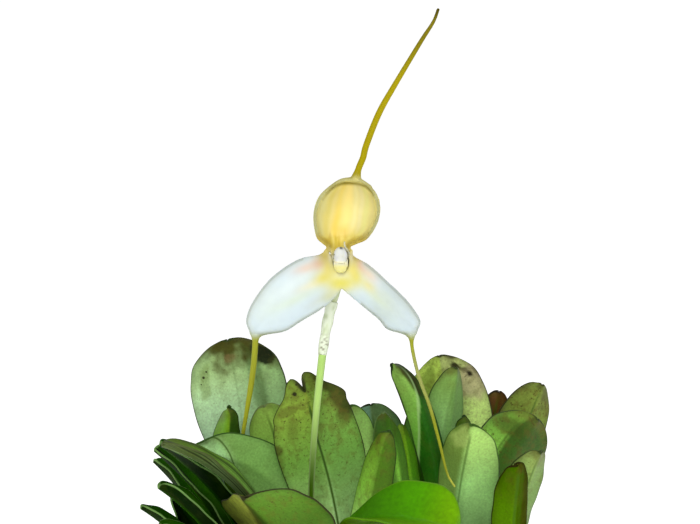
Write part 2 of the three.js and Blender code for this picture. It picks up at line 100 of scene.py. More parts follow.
def plain(code: str, count: int) -> Array:
    """Gives the same linear colour for each of a number of points."""
    return np.tile(rgb(code), (count, 1))


def step(value: Array, low: float, high: float) -> Array:
    """Rises smoothly from 0 at low to 1 at high; with low above high it falls.

    Args:
        value: where to read it.
        low: where it is 0.
        high: where it is 1.

    Returns:
        The smooth step at each value.
    """
    t = np.clip((value - low) / (high - low), 0, 1)
    return t * t * (3 - 2 * t)


def hump(value: Array, middle: float, wide: float) -> Array:
    """Rises to 1 at the middle and falls away on both sides as a bell does.

    Args:
        value: where to read it.
        middle: where it is 1.
        wide: how far from there it is down to a third.

    Returns:
        The bell at each value.
    """
    return np.exp(-(((value - middle) / wide) ** 2))


def domed(value: Array) -> Array:
    """Gives a round end: 1 at 0 and below, and falling as a quarter circle to 0 at 1."""
    return np.sqrt(np.clip(1 - np.clip(value, 0, 1) ** 2, 0, 1))


def blend(base: Array, *layers: tuple[str, Array]) -> Array:
    """Mixes colours into an array of colours, one after another.

    Args:
        base: colours, one row a point.
        *layers: each a hex colour and its share at each point.

    Returns:
        The mixed colours.
    """
    for code, amount in layers:
        share = np.clip(amount, 0, 1)[:, None]
        base = base * (1 - share) + rgb(code) * share
    return base


def rough(points: Array, grain: float, seed: float = 0.0) -> Array:
    """Reads smooth noise at points.

    Args:
        points: places in millimetres.
        grain: size of the noise's lumps in millimetres.
        seed: shifts the noise, so that two readings differ.

    Returns:
        Values from about -1 to 1.
    """
    shift = Vector([seed * way for way in NOISE_SHIFT])
    return np.array([noise.noise(Vector(p) / grain + shift) for p in points])


def spline_weights(knots: Array, at: Array) -> Array:
    """Works out how much each knot's value counts at each place of a smooth curve through the knots.

    Args:
        knots: the places of the known values, rising.
        at: the places to read.

    Returns:
        One row for each place, with a weight for each knot.
    """
    values = np.eye(len(knots))
    slopes = np.gradient(values, knots, axis=0)
    i = np.clip(np.searchsorted(knots, at) - 1, 0, len(knots) - 2)
    span = knots[i + 1] - knots[i]
    t = ((at - knots[i]) / span)[:, None]
    span = span[:, None]
    start = (2 * t**3 - 3 * t**2 + 1) * values[i] + (t**3 - 2 * t**2 + t) * span * slopes[i]
    end = (3 * t**2 - 2 * t**3) * values[i + 1] + (t**3 - t**2) * span * slopes[i + 1]
    return start + end


def through(points: Route, at: Array) -> Array:
    """Reads a smooth curve through points that are spread evenly along its parameter.

    Args:
        points: the points of the curve.
        at: places from 0 to 1.

    Returns:
        One point for each place.
    """
    known = np.array(points, float)
    return spline_weights(np.linspace(0, 1, len(known)), at) @ known


def gap_to(points: Array, line: Array) -> Array:
    """Gives the distance from points to a line's points, as seen from the front.

    Args:
        points: places in millimetres.
        line: the line's points.

    Returns:
        A distance for each place.
    """
    best = np.full(len(points), np.inf)
    for spot in line:
        best = np.minimum(best, np.hypot(points[:, 0] - spot[0], points[:, 2] - spot[2]))
    return best


# ---- materials


def connect(node: Node, inputs: dict) -> None:
    """Feeds a node's inputs.

    Args:
        node: the node.
        inputs: for each input, the socket that feeds it or its fixed value.
    """
    for name, value in inputs.items():
        if isinstance(value, Socket):
            node.id_data.links.new(value, node.inputs[name])
        else:
            node.inputs[name].default_value = value


def add_node(
    tree: Tree, kind: str, inputs: dict | None = None, stops: dict | None = None, **settings: object
) -> bpy.types.NodeOutputs:
    """Adds one node with its settings and links.

    Args:
        tree: the material's node tree.
        kind: the shader node's type.
        inputs: for each input, the socket that feeds it or its fixed value.
        stops: for a colour ramp, the colour at each place.
        **settings: the node's own properties.

    Returns:
        The node's outputs.
    """
    made = tree.nodes.new("ShaderNode" + kind)
    for name, value in settings.items():
        setattr(made, name, value)
    for place, colour in (stops or {}).items():
        ramp = made.color_ramp
        used = ramp.elements[0] if place == min(stops) else ramp.elements.new(place)
        used.position = place
        used.color = linear(colour)
    if stops:
        made.color_ramp.elements.remove(made.color_ramp.elements[-1])
    connect(made, inputs or {})
    return made.outputs


def new_material(name: str) -> tuple[Material, Tree, Node]:
    """Starts a material.

    Args:
        name: the real material's name.

    Returns:
        The material, its node tree and its shader.
    """
    made = bpy.data.materials.new(name)
    made.use_nodes = True
    return made, made.node_tree, made.node_tree.nodes["Principled BSDF"]


# ---- meshes


def alone(piece: Piece) -> None:
    """Selects one object and makes it the active one."""
    bpy.ops.object.select_all(action="DESELECT")
    piece.select_set(True)
    bpy.context.view_layer.objects.active = piece


def apply_modifier(piece: Piece, kind: str, **settings: object) -> None:
    """Adds a modifier to a piece and applies it.

    Args:
        piece: the piece.
        kind: the modifier's type.
        **settings: the modifier's properties.
    """
    alone(piece)
    made = piece.modifiers.new(kind.title(), kind)
    for name, value in settings.items():
        setattr(made, name, value)
    bpy.ops.object.modifier_apply(modifier=made.name)


def edited(piece: Piece, *steps: Callable[[], object]) -> None:
    """Runs mesh operators on the whole of a piece, in edit mode.

    Args:
        piece: the piece.
        *steps: what is run, in order, each with all of the mesh selected.
    """
    alone(piece)
    bpy.ops.object.mode_set(mode="EDIT")
    for run in steps:
        bpy.ops.mesh.select_all(action="SELECT")
        run()
    bpy.ops.object.mode_set(mode="OBJECT")


def weld() -> None:
    """Makes one of the selected vertices that lie on each other."""
    bpy.ops.mesh.remove_doubles(threshold=WELD)


def turn_outwards() -> None:
    """Turns the selected faces outwards."""
    bpy.ops.mesh.normals_make_consistent(inside=False)


def joined(pieces: Sequence[Piece], name: str) -> Piece:
    """Joins pieces into one object.

    Args:
        pieces: what to join.
        name: the name of the result.

    Returns:
        The joined object.
    """
    alone(pieces[0])
    for other in pieces[1:]:
        other.select_set(True)
    bpy.ops.object.join()
    made = bpy.context.object
    made.name = name
    made.data.name = name
    return made


def triples(items: bpy.types.bpy_prop_collection, key: str) -> Array:
    """Reads three numbers for each item of a mesh.

    Args:
        items: the mesh's items.
        key: the property that is read.

    Returns:
        One row for each item.
    """
    flat = np.empty(3 * len(items), np.float32)
    items.foreach_get(key, flat)
    return flat.reshape(-1, 3).astype(float)


def coordinates(piece: Piece) -> Array:
    """Gives a piece's vertices in millimetres, one row each."""
    return triples(piece.data.vertices, "co") / MM


def normals(piece: Piece) -> Array:
    """Gives a piece's vertex normals, one row each."""
    return triples(piece.data.vertex_normals, "vector")


def move_to(piece: Piece, points: Array) -> None:
    """Puts a piece's vertices at points in millimetres, one row each."""
    piece.data.vertices.foreach_set("co", (points * MM).astype(np.float32).ravel())
    piece.data.update()


def sheet(name: str, surface: Surface, columns: int, rows: int, closed: bool = False) -> Piece:
    """Lays a grid on a surface.

    Args:
        name: the piece's name.
        surface: gives points in millimetres, from places across (-1 to 1) and along (0 to 1).
        columns: faces across.
        rows: faces along.
        closed: whether the two sides and the ends meet and are sewn together, as on a tube.

    Returns:
        The piece, with each vertex's place across and along as an attribute.
    """
    bpy.ops.object.select_all(action="DESELECT")
    bpy.ops.mesh.primitive_grid_add(x_subdivisions=columns, y_subdivisions=rows, size=2, calc_uvs=True)
    piece = bpy.context.object
    piece.name = name
    piece.data.name = name
    flat = triples(piece.data.vertices, "co")
    across, along = flat[:, 0], (flat[:, 1] + 1) / 2
    store(piece, "place", np.stack([across, along, 0 * along], axis=1))
    move_to(piece, surface(across, along))
    if closed:
        edited(piece, weld, turn_outwards)
    return piece


def tube(name: str, route: Route, radius: Radius, sides: int, rows: int) -> Piece:
    """Makes a round stalk along a route, with rounded ends.

    Args:
        name: the piece's name.
        route: points in millimetres.
        radius: gives the radius in millimetres from the share of the way along.
        sides: faces round it.
        rows: faces along it, closer together at the two ends.

    Returns:
        The piece.
    """
    near, cap = 0.01, 0.015  # shares of the length: how far the direction is read, and the round ends
    crowding = 0.25  # how much closer together the rows are at the ends

    def surface(across: Array, along: Array) -> Array:
        """Places each point round the route.

        Args:
            across: places across.
            along: places along.

        Returns:
            Points in millimetres.
        """
        eased = 0.5 - 0.5 * np.cos(np.pi * along)
        share = crowding * eased + (1 - crowding) * along
        centre = through(route, share)
        ahead = through(route, np.clip(share + near, 0, 1)) - through(route, np.clip(share - near, 0, 1))
        ahead /= np.linalg.norm(ahead, axis=1)[:, None]
        side = np.cross(ahead, (0.0, 1.0, 0.05))
        side /= np.linalg.norm(side, axis=1)[:, None]
        out = np.cross(side, ahead)
        angle = np.pi * across
        end = domed(1 - np.clip(np.minimum(along, 1 - along) / cap, 0, 1))
        reach = (radius(share) * end)[:, None]
        return centre + reach * (np.sin(angle)[:, None] * side + np.cos(angle)[:, None] * out)

    return sheet(name, surface, sides, rows, closed=True)


def store(piece: Piece, name: str, values: Array, kind: str = "FLOAT_VECTOR") -> None:
    """Stores a value for each vertex of a piece, which its material reads.

    Args:
        piece: the piece.
        name: the attribute's name.
        values: one row for each vertex.
        kind: the attribute's type.
    """
    keys = {"FLOAT_VECTOR": "vector", "FLOAT_COLOR": "color", "FLOAT": "value"}
    layer = piece.data.attributes.new(name, kind, "POINT")
    layer.data.foreach_set(keys[kind], values.astype(np.float32).ravel())


def store_colour(piece: Piece, name: str, colours: Array) -> None:
    """Stores a linear colour for each vertex of a piece, with an alpha of 1."""
    store(piece, name, np.insert(colours, 3, 1.0, axis=1), "FLOAT_COLOR")


def smooth_shaded(piece: Piece) -> None:
    """Shades a piece smooth all over."""
    alone(piece)
    bpy.ops.object.shade_smooth()


def settle(piece: Piece, slot: str, *nodes: str) -> None:
    """Fastens a finished piece to the frame and reports it.

    Args:
        piece: the piece.
        slot: the record's material slot; not used.
        *nodes: the frame's nodes that it stands for.
    """
    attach(piece, ROOT)
    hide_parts(*nodes)
    log.info("%s: %d faces, for %s", piece.name, len(piece.data.polygons), ", ".join(nodes))


def dress(piece: Piece, skin: Array, gloss: Array | float, tissue: Material, slot: str, *nodes: str) -> None:
    """Colours a piece of the bloom or its stem, gives it its material and settles it.

    Args:
        piece: the piece.
        skin: a linear colour for each vertex.
        gloss: how glossy it is, from 0 to 1, all over or at each vertex.
        tissue: its material.
        slot: the record's material slot.
        *nodes: the frame's nodes that it stands for.
    """
    store_colour(piece, "skin", skin)
    store(piece, "gloss", np.broadcast_to(gloss, len(skin)), "FLOAT")
    piece.data.materials.append(tissue)
    smooth_shaded(piece)
    settle(piece, slot, *nodes)


# ---- leaves


YOUNG_LEAF = "leaf_14"
SPOTS = 3  # the most black spots that one leaf has
PLACES = 5  # places across the frame's leaves, from margin to margin
RIB = PLACES // 2  # the place of the midrib
NO_CAP = 1.2  # a place past the tip, for a leaf whose tip isn't weathered


@dataclass(frozen=True)
class Patch:
    """A ragged patch of another colour on a leaf, placed across (-1 to 1) and along it (0 to 1). Some patches
    are the leaf's own marks and some are painted shadows.
    """

    colour: str
    across: float
    along: float
    wide: float
    high: float
    share: float = 0.8
    ragged: float = 0.35  # how uneven its outline is
    soft: float = 0.25  # how far its edge fades


class LeafAge(Enum):
    """How far a leaf has aged, and with that how its skin is marked."""

    YOUNG = "young"
    SOUND = "sound"
    WORN = "worn"
    SHADED = "shaded"


@dataclass(frozen=True)
class LeafLook:
    """How one leaf is coloured and how its outline differs, as seen from its underside with its tip up."""

    age: LeafAge = LeafAge.SOUND
    # foot, middle and tip colour the blade from the petiole up; on many front leaves the foot is painted
    # lighter than the leaf is, as painted light that lifts the shade their neighbours cast low down
    foot: str = "#8DB07E"
    middle: str = "#7FA763"
    tip: str = "#7C9C4A"
    # The two half tints are partly each half's own colour and partly painted light: the darker tint is
    # painted shade on the half that the fold turns from the light.
    left: str = ""  # tint of the left half
    left_share: float = 0.6
    right: str = ""  # tint of the right half
    right_share: float = 0.6
    crease: float = 0.08  # how softly the halves meet, as a share of the half width
    meet: float = 0.0  # where the halves' colours meet across the leaf
    swing: float = 0.0  # how far that place moves over towards the foot
    margin: str = "#39481C"
    rib: float = 0.6  # strength of the line along the midrib
    rib_tint: str = "#3F5F1C"
    cap: str = "#5F5B22"  # weathered colour at the tip
    cap_from: float = 0.97  # where it starts, as a share of the length
    cap_slant: float = 0.0  # how much further down it comes on the left
    cap_ragged: float = 0.05
    cap_share: float = 0.7
    specks: float = 0.15  # strength of the dark specks
    streaks: float = 0.0  # strength of the lengthwise streaks
    point: float = 0.45  # how round the tip is: 0.5 is an ellipse, 1 a straight taper
    nudge: float = 0.0  # how far the blade is moved to the right, in mm
    lean: float = 0.0  # how much further the tip is
    left_wide: float = 1.0  # how much wider the left half is than the frame's
    right_wide: float = 1.0
    left_flare: float = 0.0  # how much wider still the left half is below the tip
    spots: Route = ()  # black spots: x, z and radius in mm
    patches: tuple[Patch, ...] = ()


class LeafSide(Enum):
    """The two faces of a leaf."""

    UPPER = "leathery leaf, upper face"
    UNDER = "leathery leaf, underside"


@dataclass(frozen=True)
class SkinPatterns:
    """What a leaf's skin reads at each place: noises, distances in mm and the leaf's own strengths."""

    mottle: Socket
    pores: Socket
    clouds: Socket
    specks: Socket
    veins: Socket
    from_margin: Socket
    from_rib: Socket
    speck_share: Socket
    rib_share: Socket
    streak_share: Socket


@dataclass(frozen=True)
class Marking:
    """One kind of mark in a leaf's skin: where its pattern runs through a range, its tint covers the skin."""

    pattern: Socket
    low: float
    high: float
    cover: tuple[float, float]  # how much it covers at low and at high
    tint: Socket | tuple[float, ...]
    weight: Socket | None = None  # the leaf's own share of it
    curve: str = "LINEAR"


@dataclass(frozen=True)
class LeafTissue:
    """Finish of a leathery leaf: a waxy skin with faint lengthwise veins and a fine grain of pores."""

    side: LeafSide
    roughness: float = 0.4
    index: float = 1.18  # refractive index: a matt skin mirrors little, even at a glance
    pore_mm: float = 0.42  # pores, drawn at half a millimetre, as fine as shows
    pores: tuple[float, float] = (0.68, 1.32)  # how dark and how bright they make the skin
    mottle_mm: float = 4.5
    mottle: tuple[float, float] = (0.86, 1.14)
    cloud_mm: float = 3.2
    olive: float = 0.1
    stain: float = 0.28
    speck_mm: float = 0.55
    vein_mm: float = 0.75  # between the parallel veins
    rib_mm: float = 0.34
    margin_mm: float = 0.34
    fullness: float = 1.0
    fade_mm: float = 1.7  # the blade is thinner and darker this far in from its margins
    fade: float = 0.76
    bump: float = 0.35
    bump_mm: float = 0.06

    def material(self) -> Material:
        """Makes the material.

        Returns:
            A material that reads the leaf's own skin colour, margin colour and line distances.
        """
        made, tree, shader = new_material(self.side.value)
        place = add_node(tree, "TexCoord")["Object"]
        seen = self.patterns(tree, place)
        colour = self.clean_skin(tree, seen)
        for marking in self.markings(tree, place, seen):
            span = {"Value": marking.pattern, "From Min": marking.low, "From Max": marking.high}
            cover = {"To Min": marking.cover[0], "To Max": marking.cover[1]}
            share = add_node(tree, "MapRange", span | cover, interpolation_type=marking.curve)["Result"]
            if marking.weight:
                share = add_node(tree, "Math", {0: share, 1: marking.weight}, operation="MULTIPLY")["Value"]
            mixed = {"Factor": share, "A": colour, "B": marking.tint}
            colour = add_node(tree, "Mix", mixed, data_type="RGBA")["Result"]
        height = add_node(tree, "Math", {0: seen.pores, 1: seen.veins}, operation="ADD")["Value"]
        relief = add_node(
            tree, "Bump", {"Height": height, "Strength": self.bump, "Distance": self.bump_mm * MM}
        )["Normal"]
        connect(shader, {"Base Color": colour, "Normal": relief})
        connect(shader, {"Roughness": self.roughness, "IOR": self.index})
        return made

    def patterns(self, tree: Tree, place: Socket) -> SkinPatterns:
        """Adds the nodes that the skin reads.

        Args:
            tree: the material's node tree.
            place: the place on the plant.

        Returns:
            Their sockets.
        """
        sizes = (
            (self.mottle_mm, 3.0, 0.5), (self.pore_mm, 2.0, 0.5), (self.cloud_mm, 4.0, 0.5),
            (self.speck_mm, 3.0, 0.6),
        )
        noises = []
        for size, detail, fall in sizes:
            inputs = {"Vector": place, "Scale": 1 / (size * MM), "Detail": detail, "Roughness": fall}
            noises.append(add_node(tree, "TexNoise", inputs)["Fac"])
        line, mark = (
            add_node(
                tree, "SeparateXYZ", {"Vector": add_node(tree, "Attribute", attribute_name=name)["Vector"]},
            )
            for name in ("lines", "marks")
        )
        across = {"W": line["Y"], "Scale": 1 / self.vein_mm, "Detail": 2.0}
        veins = add_node(tree, "TexNoise", across, noise_dimensions="1D")["Fac"]
        off_rib = add_node(tree, "Math", {0: line["Y"]}, operation="ABSOLUTE")["Value"]
        return SkinPatterns(*noises, veins, line["X"], off_rib, mark["X"], mark["Y"], mark["Z"])

    def clean_skin(self, tree: Tree, seen: SkinPatterns) -> Socket:
        """Shades the leaf's own colour with its mottling, its pores and the darker margins.

        Args:
            tree: the material's node tree.
            seen: what the skin reads.

        Returns:
            The colour before any marks.
        """
        skin = add_node(tree, "Attribute", attribute_name="skin")["Color"]
        fullness, value = self.fullness, 1.1
        if self.side is LeafSide.UPPER:
            # The upper skin has no wax bloom: it is a deeper, fuller green than the underside.
            skin = add_node(tree, "Gamma", {"Color": skin, "Gamma": 1.3})["Color"]
            fullness, value = 1.2, 0.95
        skin = add_node(
            tree, "HueSaturation", {"Color": skin, "Saturation": fullness, "Value": value}
        )["Color"]
        tones = []
        for pattern, high, (dark, bright), curve in (
            (seen.mottle, 1.0, self.mottle, "LINEAR"), (seen.pores, 1.0, self.pores, "LINEAR"),
            (seen.from_margin, self.fade_mm, (self.fade, 1.0), "SMOOTHSTEP"),
        ):
            inputs = {"Value": pattern, "From Max": high, "To Min": dark, "To Max": bright}
            tone = add_node(tree, "MapRange", inputs, interpolation_type=curve)["Result"]
            if tones:
                tone = add_node(tree, "Math", {0: tones[-1], 1: tone}, operation="MULTIPLY")["Value"]
            tones.append(tone)
        shaded = add_node(tree, "VectorMath", {0: skin, "Scale": tones[-1]}, operation="SCALE")
        return shaded["Vector"]

    def markings(self, tree: Tree, place: Socket, seen: SkinPatterns) -> list[Marking]:
        """Lists the marks in the skin, from the lowest layer to the highest.

        Args:
            tree: the material's node tree.
            place: the place on the plant.
            seen: what the skin reads.

        Returns:
            The marks.
        """
        edge, crease = (
            add_node(tree, "Attribute", attribute_name=name)["Color"] for name in ("margin", "rib")
        )
        black, brown = linear("#241D0C"), linear("#5E4C1E")
        return [
            # Olive clouds, and brown stains of age with soft edges.
            Marking(seen.clouds, 0.45, 0.7, (0.0, self.olive), linear("#6F7E2C")),
            Marking(seen.clouds, 0.5, 0.66, (0.0, self.stain), brown, seen.speck_share, "SMOOTHSTEP"),
            # Lengthwise streaks, spaced across the blade as the parallel veins are.
            Marking(seen.veins, 0.45, 0.62, (0.0, 1.0), linear("#2E3A1A"), seen.streak_share),
            # Dark specks, a third of a millimetre across.
            Marking(seen.specks, 0.58, 0.68, (0.0, 1.0), linear("#4B431A"), seen.speck_share),
            *(Marking(reach, 0.75, 1.2, (0.92, 0.0), black) for reach in self.spot_reaches(tree, place)),
            # The midrib's line and the thin hard margin.
            Marking(seen.from_rib, 0.25 * self.rib_mm, self.rib_mm, (1.0, 0.0), crease, seen.rib_share),
            Marking(seen.from_margin, 0.3 * self.margin_mm, self.margin_mm, (1.0, 0.0), edge),
        ]

    @staticmethod
    def spot_reaches(tree: Tree, place: Socket) -> list[Socket]:
        """Measures how far a place is from each round black spot, seen from the front.

        Args:
            tree: the material's node tree.
            place: the place on the plant.

        Returns:
            For each spot, the distance as a share of its radius.
        """
        reaches = []
        for k in range(SPOTS):
            # The spot's attribute holds its x and z, and its radius as y.
            spot = add_node(tree, "Attribute", attribute_name=f"spot_{k}")["Vector"]
            size = add_node(tree, "SeparateXYZ", {"Vector": spot})["Y"]
            here, centre = (
                add_node(tree, "VectorMath", {0: point, 1: (1, 0, 1)}, operation="MULTIPLY")["Vector"]
                for point in (place, spot)
            )
            away = add_node(tree, "VectorMath", {0: here, 1: centre}, operation="DISTANCE")["Value"]
            share = add_node(tree, "Math", {0: away, 1: size}, operation="DIVIDE")["Value"]
            reaches.append(share)
        return reaches


@dataclass
class LeafForm:
    """A leaf's shape as the frame's solid gives it: stations along the leaf, each with five places across."""

    middle: Array  # station, place across, point: the sheet halfway between the two faces
    across: Array  # the places, from the right margin to the left one, seen from the underside
    upwards: Array  # station, place across: unit vector towards the upper face
    thickness: Array  # station, place across

    @classmethod
    def of(cls, node: Piece) -> "LeafForm":
        """Reads the form from a frame node.

        Args:
            node: the leaf's solid.

        Returns:
            The form, in millimetres.
        """
        rings = cls.rings_of(node)
        side = np.zeros(3)
        pairs = []
        for ring in rings:
            centred = ring - ring.mean(0)
            axis = np.linalg.svd(centred, full_matrices=False)[2][0]
            side = -axis if axis @ side < 0 else axis
            order = np.argsort(centred @ side).reshape(PLACES, 2)
            pairs.append(ring[order])
        pairs = np.array(pairs)
        middle = pairs.mean(2)
        apart = pairs[:, :, 1] - pairs[:, :, 0]
        # Both margins stand up from the rib towards the upper face.
        lift = (middle[:, 0] + middle[:, -1]) / 2 - middle[:, RIB]
        for i, station in enumerate(apart):
            along = middle[min(i + 1, len(rings) - 1), RIB] - middle[max(i - 1, 0), RIB]
            plane = np.cross(middle[i, -1] - middle[i, 0], along)
            station[station @ plane < 0] *= -1
        # The plane's sign follows the order of the places, so one vote turns the leaf the right way round.
        votes = sum(float(lift[i] @ apart[i, RIB]) for i in range(2, 9))
        if votes < 0:
            middle = middle[:, ::-1]
            apart = -apart[:, ::-1]
        size = np.linalg.norm(apart, axis=2)
        return cls(middle, np.linspace(-1, 1, PLACES), apart / size[:, :, None], size)

    @staticmethod
    def rings_of(node: Piece) -> list[Array]:
        """Walks a leaf's solid from its foot to its tip.

        Args:
            node: the leaf's solid.

        Returns:
            For each station, its ten points in millimetres.
        """
        solid = bmesh.new()
        solid.from_mesh(node.data)
        bmesh.ops.remove_doubles(solid, verts=solid.verts, dist=2 * WELD)
        lowest = min(v.co.z for v in solid.verts)
        ring = {v for v in solid.verts if v.co.z < lowest + 0.05 * MM}
        seen = set(ring)
        rings = []
        while ring:
            rings.append(np.array(sorted(tuple(v.co) for v in ring)) / MM)
            ring = {e.other_vert(v) for v in ring for e in v.link_edges} - seen
            seen |= ring
        solid.free()
        if any(len(r) != 2 * PLACES for r in rings):
            raise ValueError(f"{node.name} isn't laid out as a leaf")
        return rings


@dataclass
class Leaf:
    """One fine leaf laid over the frame's plain one."""

    node: str
    look: LeafLook
    columns: int = 20
    rows: int = 56
    tip_row: int = 8  # from this station on, the outline is drawn round instead of blunt
    overshoot: float = 0.006
    crowding: float = 1.6  # how much closer together the rows are round the tip
    rib_mm: float = 1.15
    edge_mm: float = 0.4
    petiole_edge_mm: float = 0.75
    keel_mm: float = 0.16
    keel_half_mm: float = 0.7
    ruffle_mm: float = 0.22
    form: LeafForm = field(init=False)

    def __post_init__(self) -> None:
        """Reads the leaf's form from the frame."""
        self.form = LeafForm.of(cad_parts[self.node])
        steps = np.linalg.norm(np.diff(self.form.middle[:, RIB], axis=0), axis=1)
        self.length = float(steps.sum())
        self.knots = np.concatenate([[0], np.cumsum(steps)]) / self.length
        self.seed = float(int(self.node[-2:]))

    def station(self, along: Array) -> Array:
        """Turns even rows to places along the leaf, closer together round the tip."""
        return (1 + self.overshoot) * (1 - (1 - along) ** self.crowding)

    def half_width(self, q: Array) -> tuple[Array, Array]:
        """Gives the half width of the frame's leaf and of the fine one.

        Args:
            q: places along the leaf.

        Returns:
            The two half widths in millimetres.
        """
        margins = self.form.middle[:, -1] - self.form.middle[:, 0]
        blunt = spline_weights(self.knots, q) @ (np.linalg.norm(margins, axis=1) / 2)
        start = self.knots[self.tip_row]
        at_start = float(np.linalg.norm(margins[self.tip_row]) / 2)
        left = np.clip((1 + self.overshoot - q) / (1 + self.overshoot - start), 0, 1)
        return np.maximum(blunt, 0.3), np.where(q > start, at_start * left**self.look.point, blunt)

    def blade(self, q: Array) -> Array:
        """Tells the blade, 1, from the petiole, 0, at places along the leaf."""
        return step(q, self.knots[2], self.knots[3])

    def fold(self, q: Array) -> Array:
        """Gives the place across where the two halves meet, at places along the leaf."""
        return self.look.meet + self.look.swing * np.clip(0.96 - q, 0, 1)

    def surface(self, across: Array, along: Array) -> Array:
        """Places the sheet's points, with a keel along the rib and slightly waved margins.

        Args:
            across: places from -1 to 1.
            along: rows from 0 to 1.

        Returns:
            Points in millimetres.
        """
        q = self.station(along)
        down = spline_weights(self.knots, q)
        over = spline_weights(self.form.across, across)
        middle = np.einsum("nk,kcd->ncd", down, self.form.middle)
        upwards = np.einsum("nk,kcd->ncd", down, self.form.upwards)
        place = np.einsum("nc,ncd->nd", over, middle)
        up = np.einsum("nc,ncd->nd", over, upwards)
        up /= np.linalg.norm(up, axis=1)[:, None]
        rib = middle[:, RIB]
        blunt, fine = self.half_width(q)
        blade = self.blade(q)
        left_wide = self.look.left_wide + self.look.left_flare * step(q, 0.97, 0.82)
        wider = 1 + (np.where(across > 0, left_wide, self.look.right_wide) - 1) * blade
        place = rib + (place - rib) * (wider * fine / blunt)[:, None]
        keel = -self.keel_mm * hump(across * fine, 0, self.keel_half_mm) * blade
        # Two slow waves of different length, so that no two margins run alike.
        wave = np.sin(q * 31 + self.seed * 1.7 + 2 * np.sign(across)) + 0.6 * np.sin(q * 57 + self.seed * 3.1)
        ruffle = self.ruffle_mm * across**4 * wave * blade
        place = place + up * (keel + ruffle)[:, None]
        place[:, 0] += self.look.nudge * step(q, 0.3, 0.7) + self.look.lean * step(q, 0.82, 1.04)
        return place

    def skin(self, across: Array, q: Array, points: Array) -> Array:
        """Colours the leaf.

        Args:
            across: places from -1, the right margin, to 1, the left one.
            q: places along the leaf.
            points: the same places in millimetres.

        Returns:
            A linear colour for each point.
        """
        look = self.look
        petiole = float(self.knots[2])
        share = np.clip((q - petiole) / (1 - petiole), 0, 1)
        # From foot to middle to tip; a light foot is painted light that lifts the shade low in the tuft.
        colour = blend(
            plain(look.foot, len(q)), (look.middle, step(share, 0.2, 0.7)),
            (look.tip, step(share, 0.62, 0.95)),
        )
        off_fold = across - self.fold(q)
        # Each half's tint: partly its own colour, partly painted shade on the half turned from the light.
        for tint, amount, sign in ((look.left, look.left_share, 1), (look.right, look.right_share, -1)):
            if tint:
                half = step(sign * off_fold, 0, look.crease)
                colour = blend(colour, (tint, amount * half * step(share, 0, 0.15)))
        ragged = look.cap_ragged * (rough(points, 3.0, self.seed) + 0.6 * rough(points, 1.2, self.seed + 0.5))
        reach = q + look.cap_slant * across + ragged
        cap = step(reach, look.cap_from - 0.05, look.cap_from + 0.06)
        colour = blend(colour, (look.cap, look.cap_share * cap))
        for patch in look.patches:
            away = np.hypot((across - patch.across) / patch.wide, (q - patch.along) / patch.high)
            away = away + patch.ragged * rough(points, 1.6, self.seed + 2)
            colour = blend(colour, (patch.colour, patch.share * step(away, 1 + patch.soft, 1 - patch.soft)))
        # Old sheaths leave the petiole's foot tan.
        return blend(colour, ("#8C7A4C", 0.8 * step(q, 0.16, 0.07)))

    def build(self, tissues: Sequence[Material]) -> Piece:
        """Builds and dresses the leaf.

        Args:
            tissues: the materials of the upper face and the underside.

        Returns:
            The leaf.
        """
        piece = sheet("blade_" + self.node[-2:], self.surface, self.columns, self.rows)
        place = triples(piece.data.attributes["place"].data, "vector")
        across, q = place[:, 0], self.station(place[:, 1])
        fine = self.half_width(q)[1]
        blade = self.blade(q)
        look = self.look
        store_colour(piece, "skin", self.skin(across, q, coordinates(piece)))
        store_colour(piece, "margin", plain(look.margin, len(q)))
        store_colour(piece, "rib", plain(look.rib_tint, len(q)))
        ended = (1 + self.overshoot - q) * self.length
        edge = np.minimum((1 - np.abs(across)) * fine, ended) + 2 * (1 - blade)
        off_rib = (across - self.fold(q)) * fine
        store(piece, "lines", np.stack([edge, off_rib, q * self.length], axis=1))
        tired = look.specks * (0.35 + 0.65 * step(q, 0.55, 0.95))
        ribbed = look.rib * blade * step(q, 1.0, 0.93)
        store(piece, "marks", np.stack([tired, ribbed, look.streaks * blade], axis=1))
        for k in range(SPOTS):
            x, z, radius = look.spots[k] if k < len(look.spots) else (0.0, 0.0, 0.01)
            store(piece, f"spot_{k}", np.tile(np.array((x, radius, z)) * MM, (len(q), 1)))
        # The materials go on first, because Solidify can only pick among those that are there.
        for tissue in tissues:
            piece.data.materials.append(tissue)
        self.thicken(piece, across, q)
        smooth_shaded(piece)
        settle(piece, "young_leaf" if self.node == YOUNG_LEAF else "leaf", self.node)
        return piece

    def thicken(self, piece: Piece, across: Array, q: Array) -> None:
        """Gives the sheet its two faces: a thick petiole and rib, and thin margins.

        Args:
            piece: the sheet.
            across: each vertex's place across.
            q: each vertex's place along.
        """
        down = spline_weights(self.knots, q)
        frame_mm = np.einsum("nk,kc->nc", down, self.form.thickness)[:, RIB]
        flat = step(q, self.knots[2], self.knots[4])
        rib = frame_mm * (1 - flat) + self.rib_mm * flat
        edge = self.petiole_edge_mm * (1 - flat) + self.edge_mm * flat
        wanted = rib + (edge - rib) * np.abs(across) ** 0.8
        most = float(wanted.max())
        group = piece.vertex_groups.new(name="thickness")
        for i, value in enumerate(wanted / most):
            group.add([i], float(value), "REPLACE")
        apply_modifier(
            piece, "SOLIDIFY", thickness=most * MM, offset=0.0, vertex_group="thickness",
            thickness_vertex_group=0.0, material_offset=1, material_offset_rim=1,
        )
        apply_modifier(piece, "SUBSURF", levels=1, render_levels=1)
        piece.vertex_groups.clear()


# The fan of leaves at the lower left stands in shade: their near-black greens and darkest right halves are
# painted shade, and their pale margins are painted highlights along the edges.
FAN_LEAF = LeafLook(
    age=LeafAge.SHADED, foot="#0C1C04", middle="#2A6210", tip="#22500C", right="#061203",
    right_share=0.85, crease=0.3, margin="#6F9450", rib=0.0, cap_from=NO_CAP, specks=0.0,
)

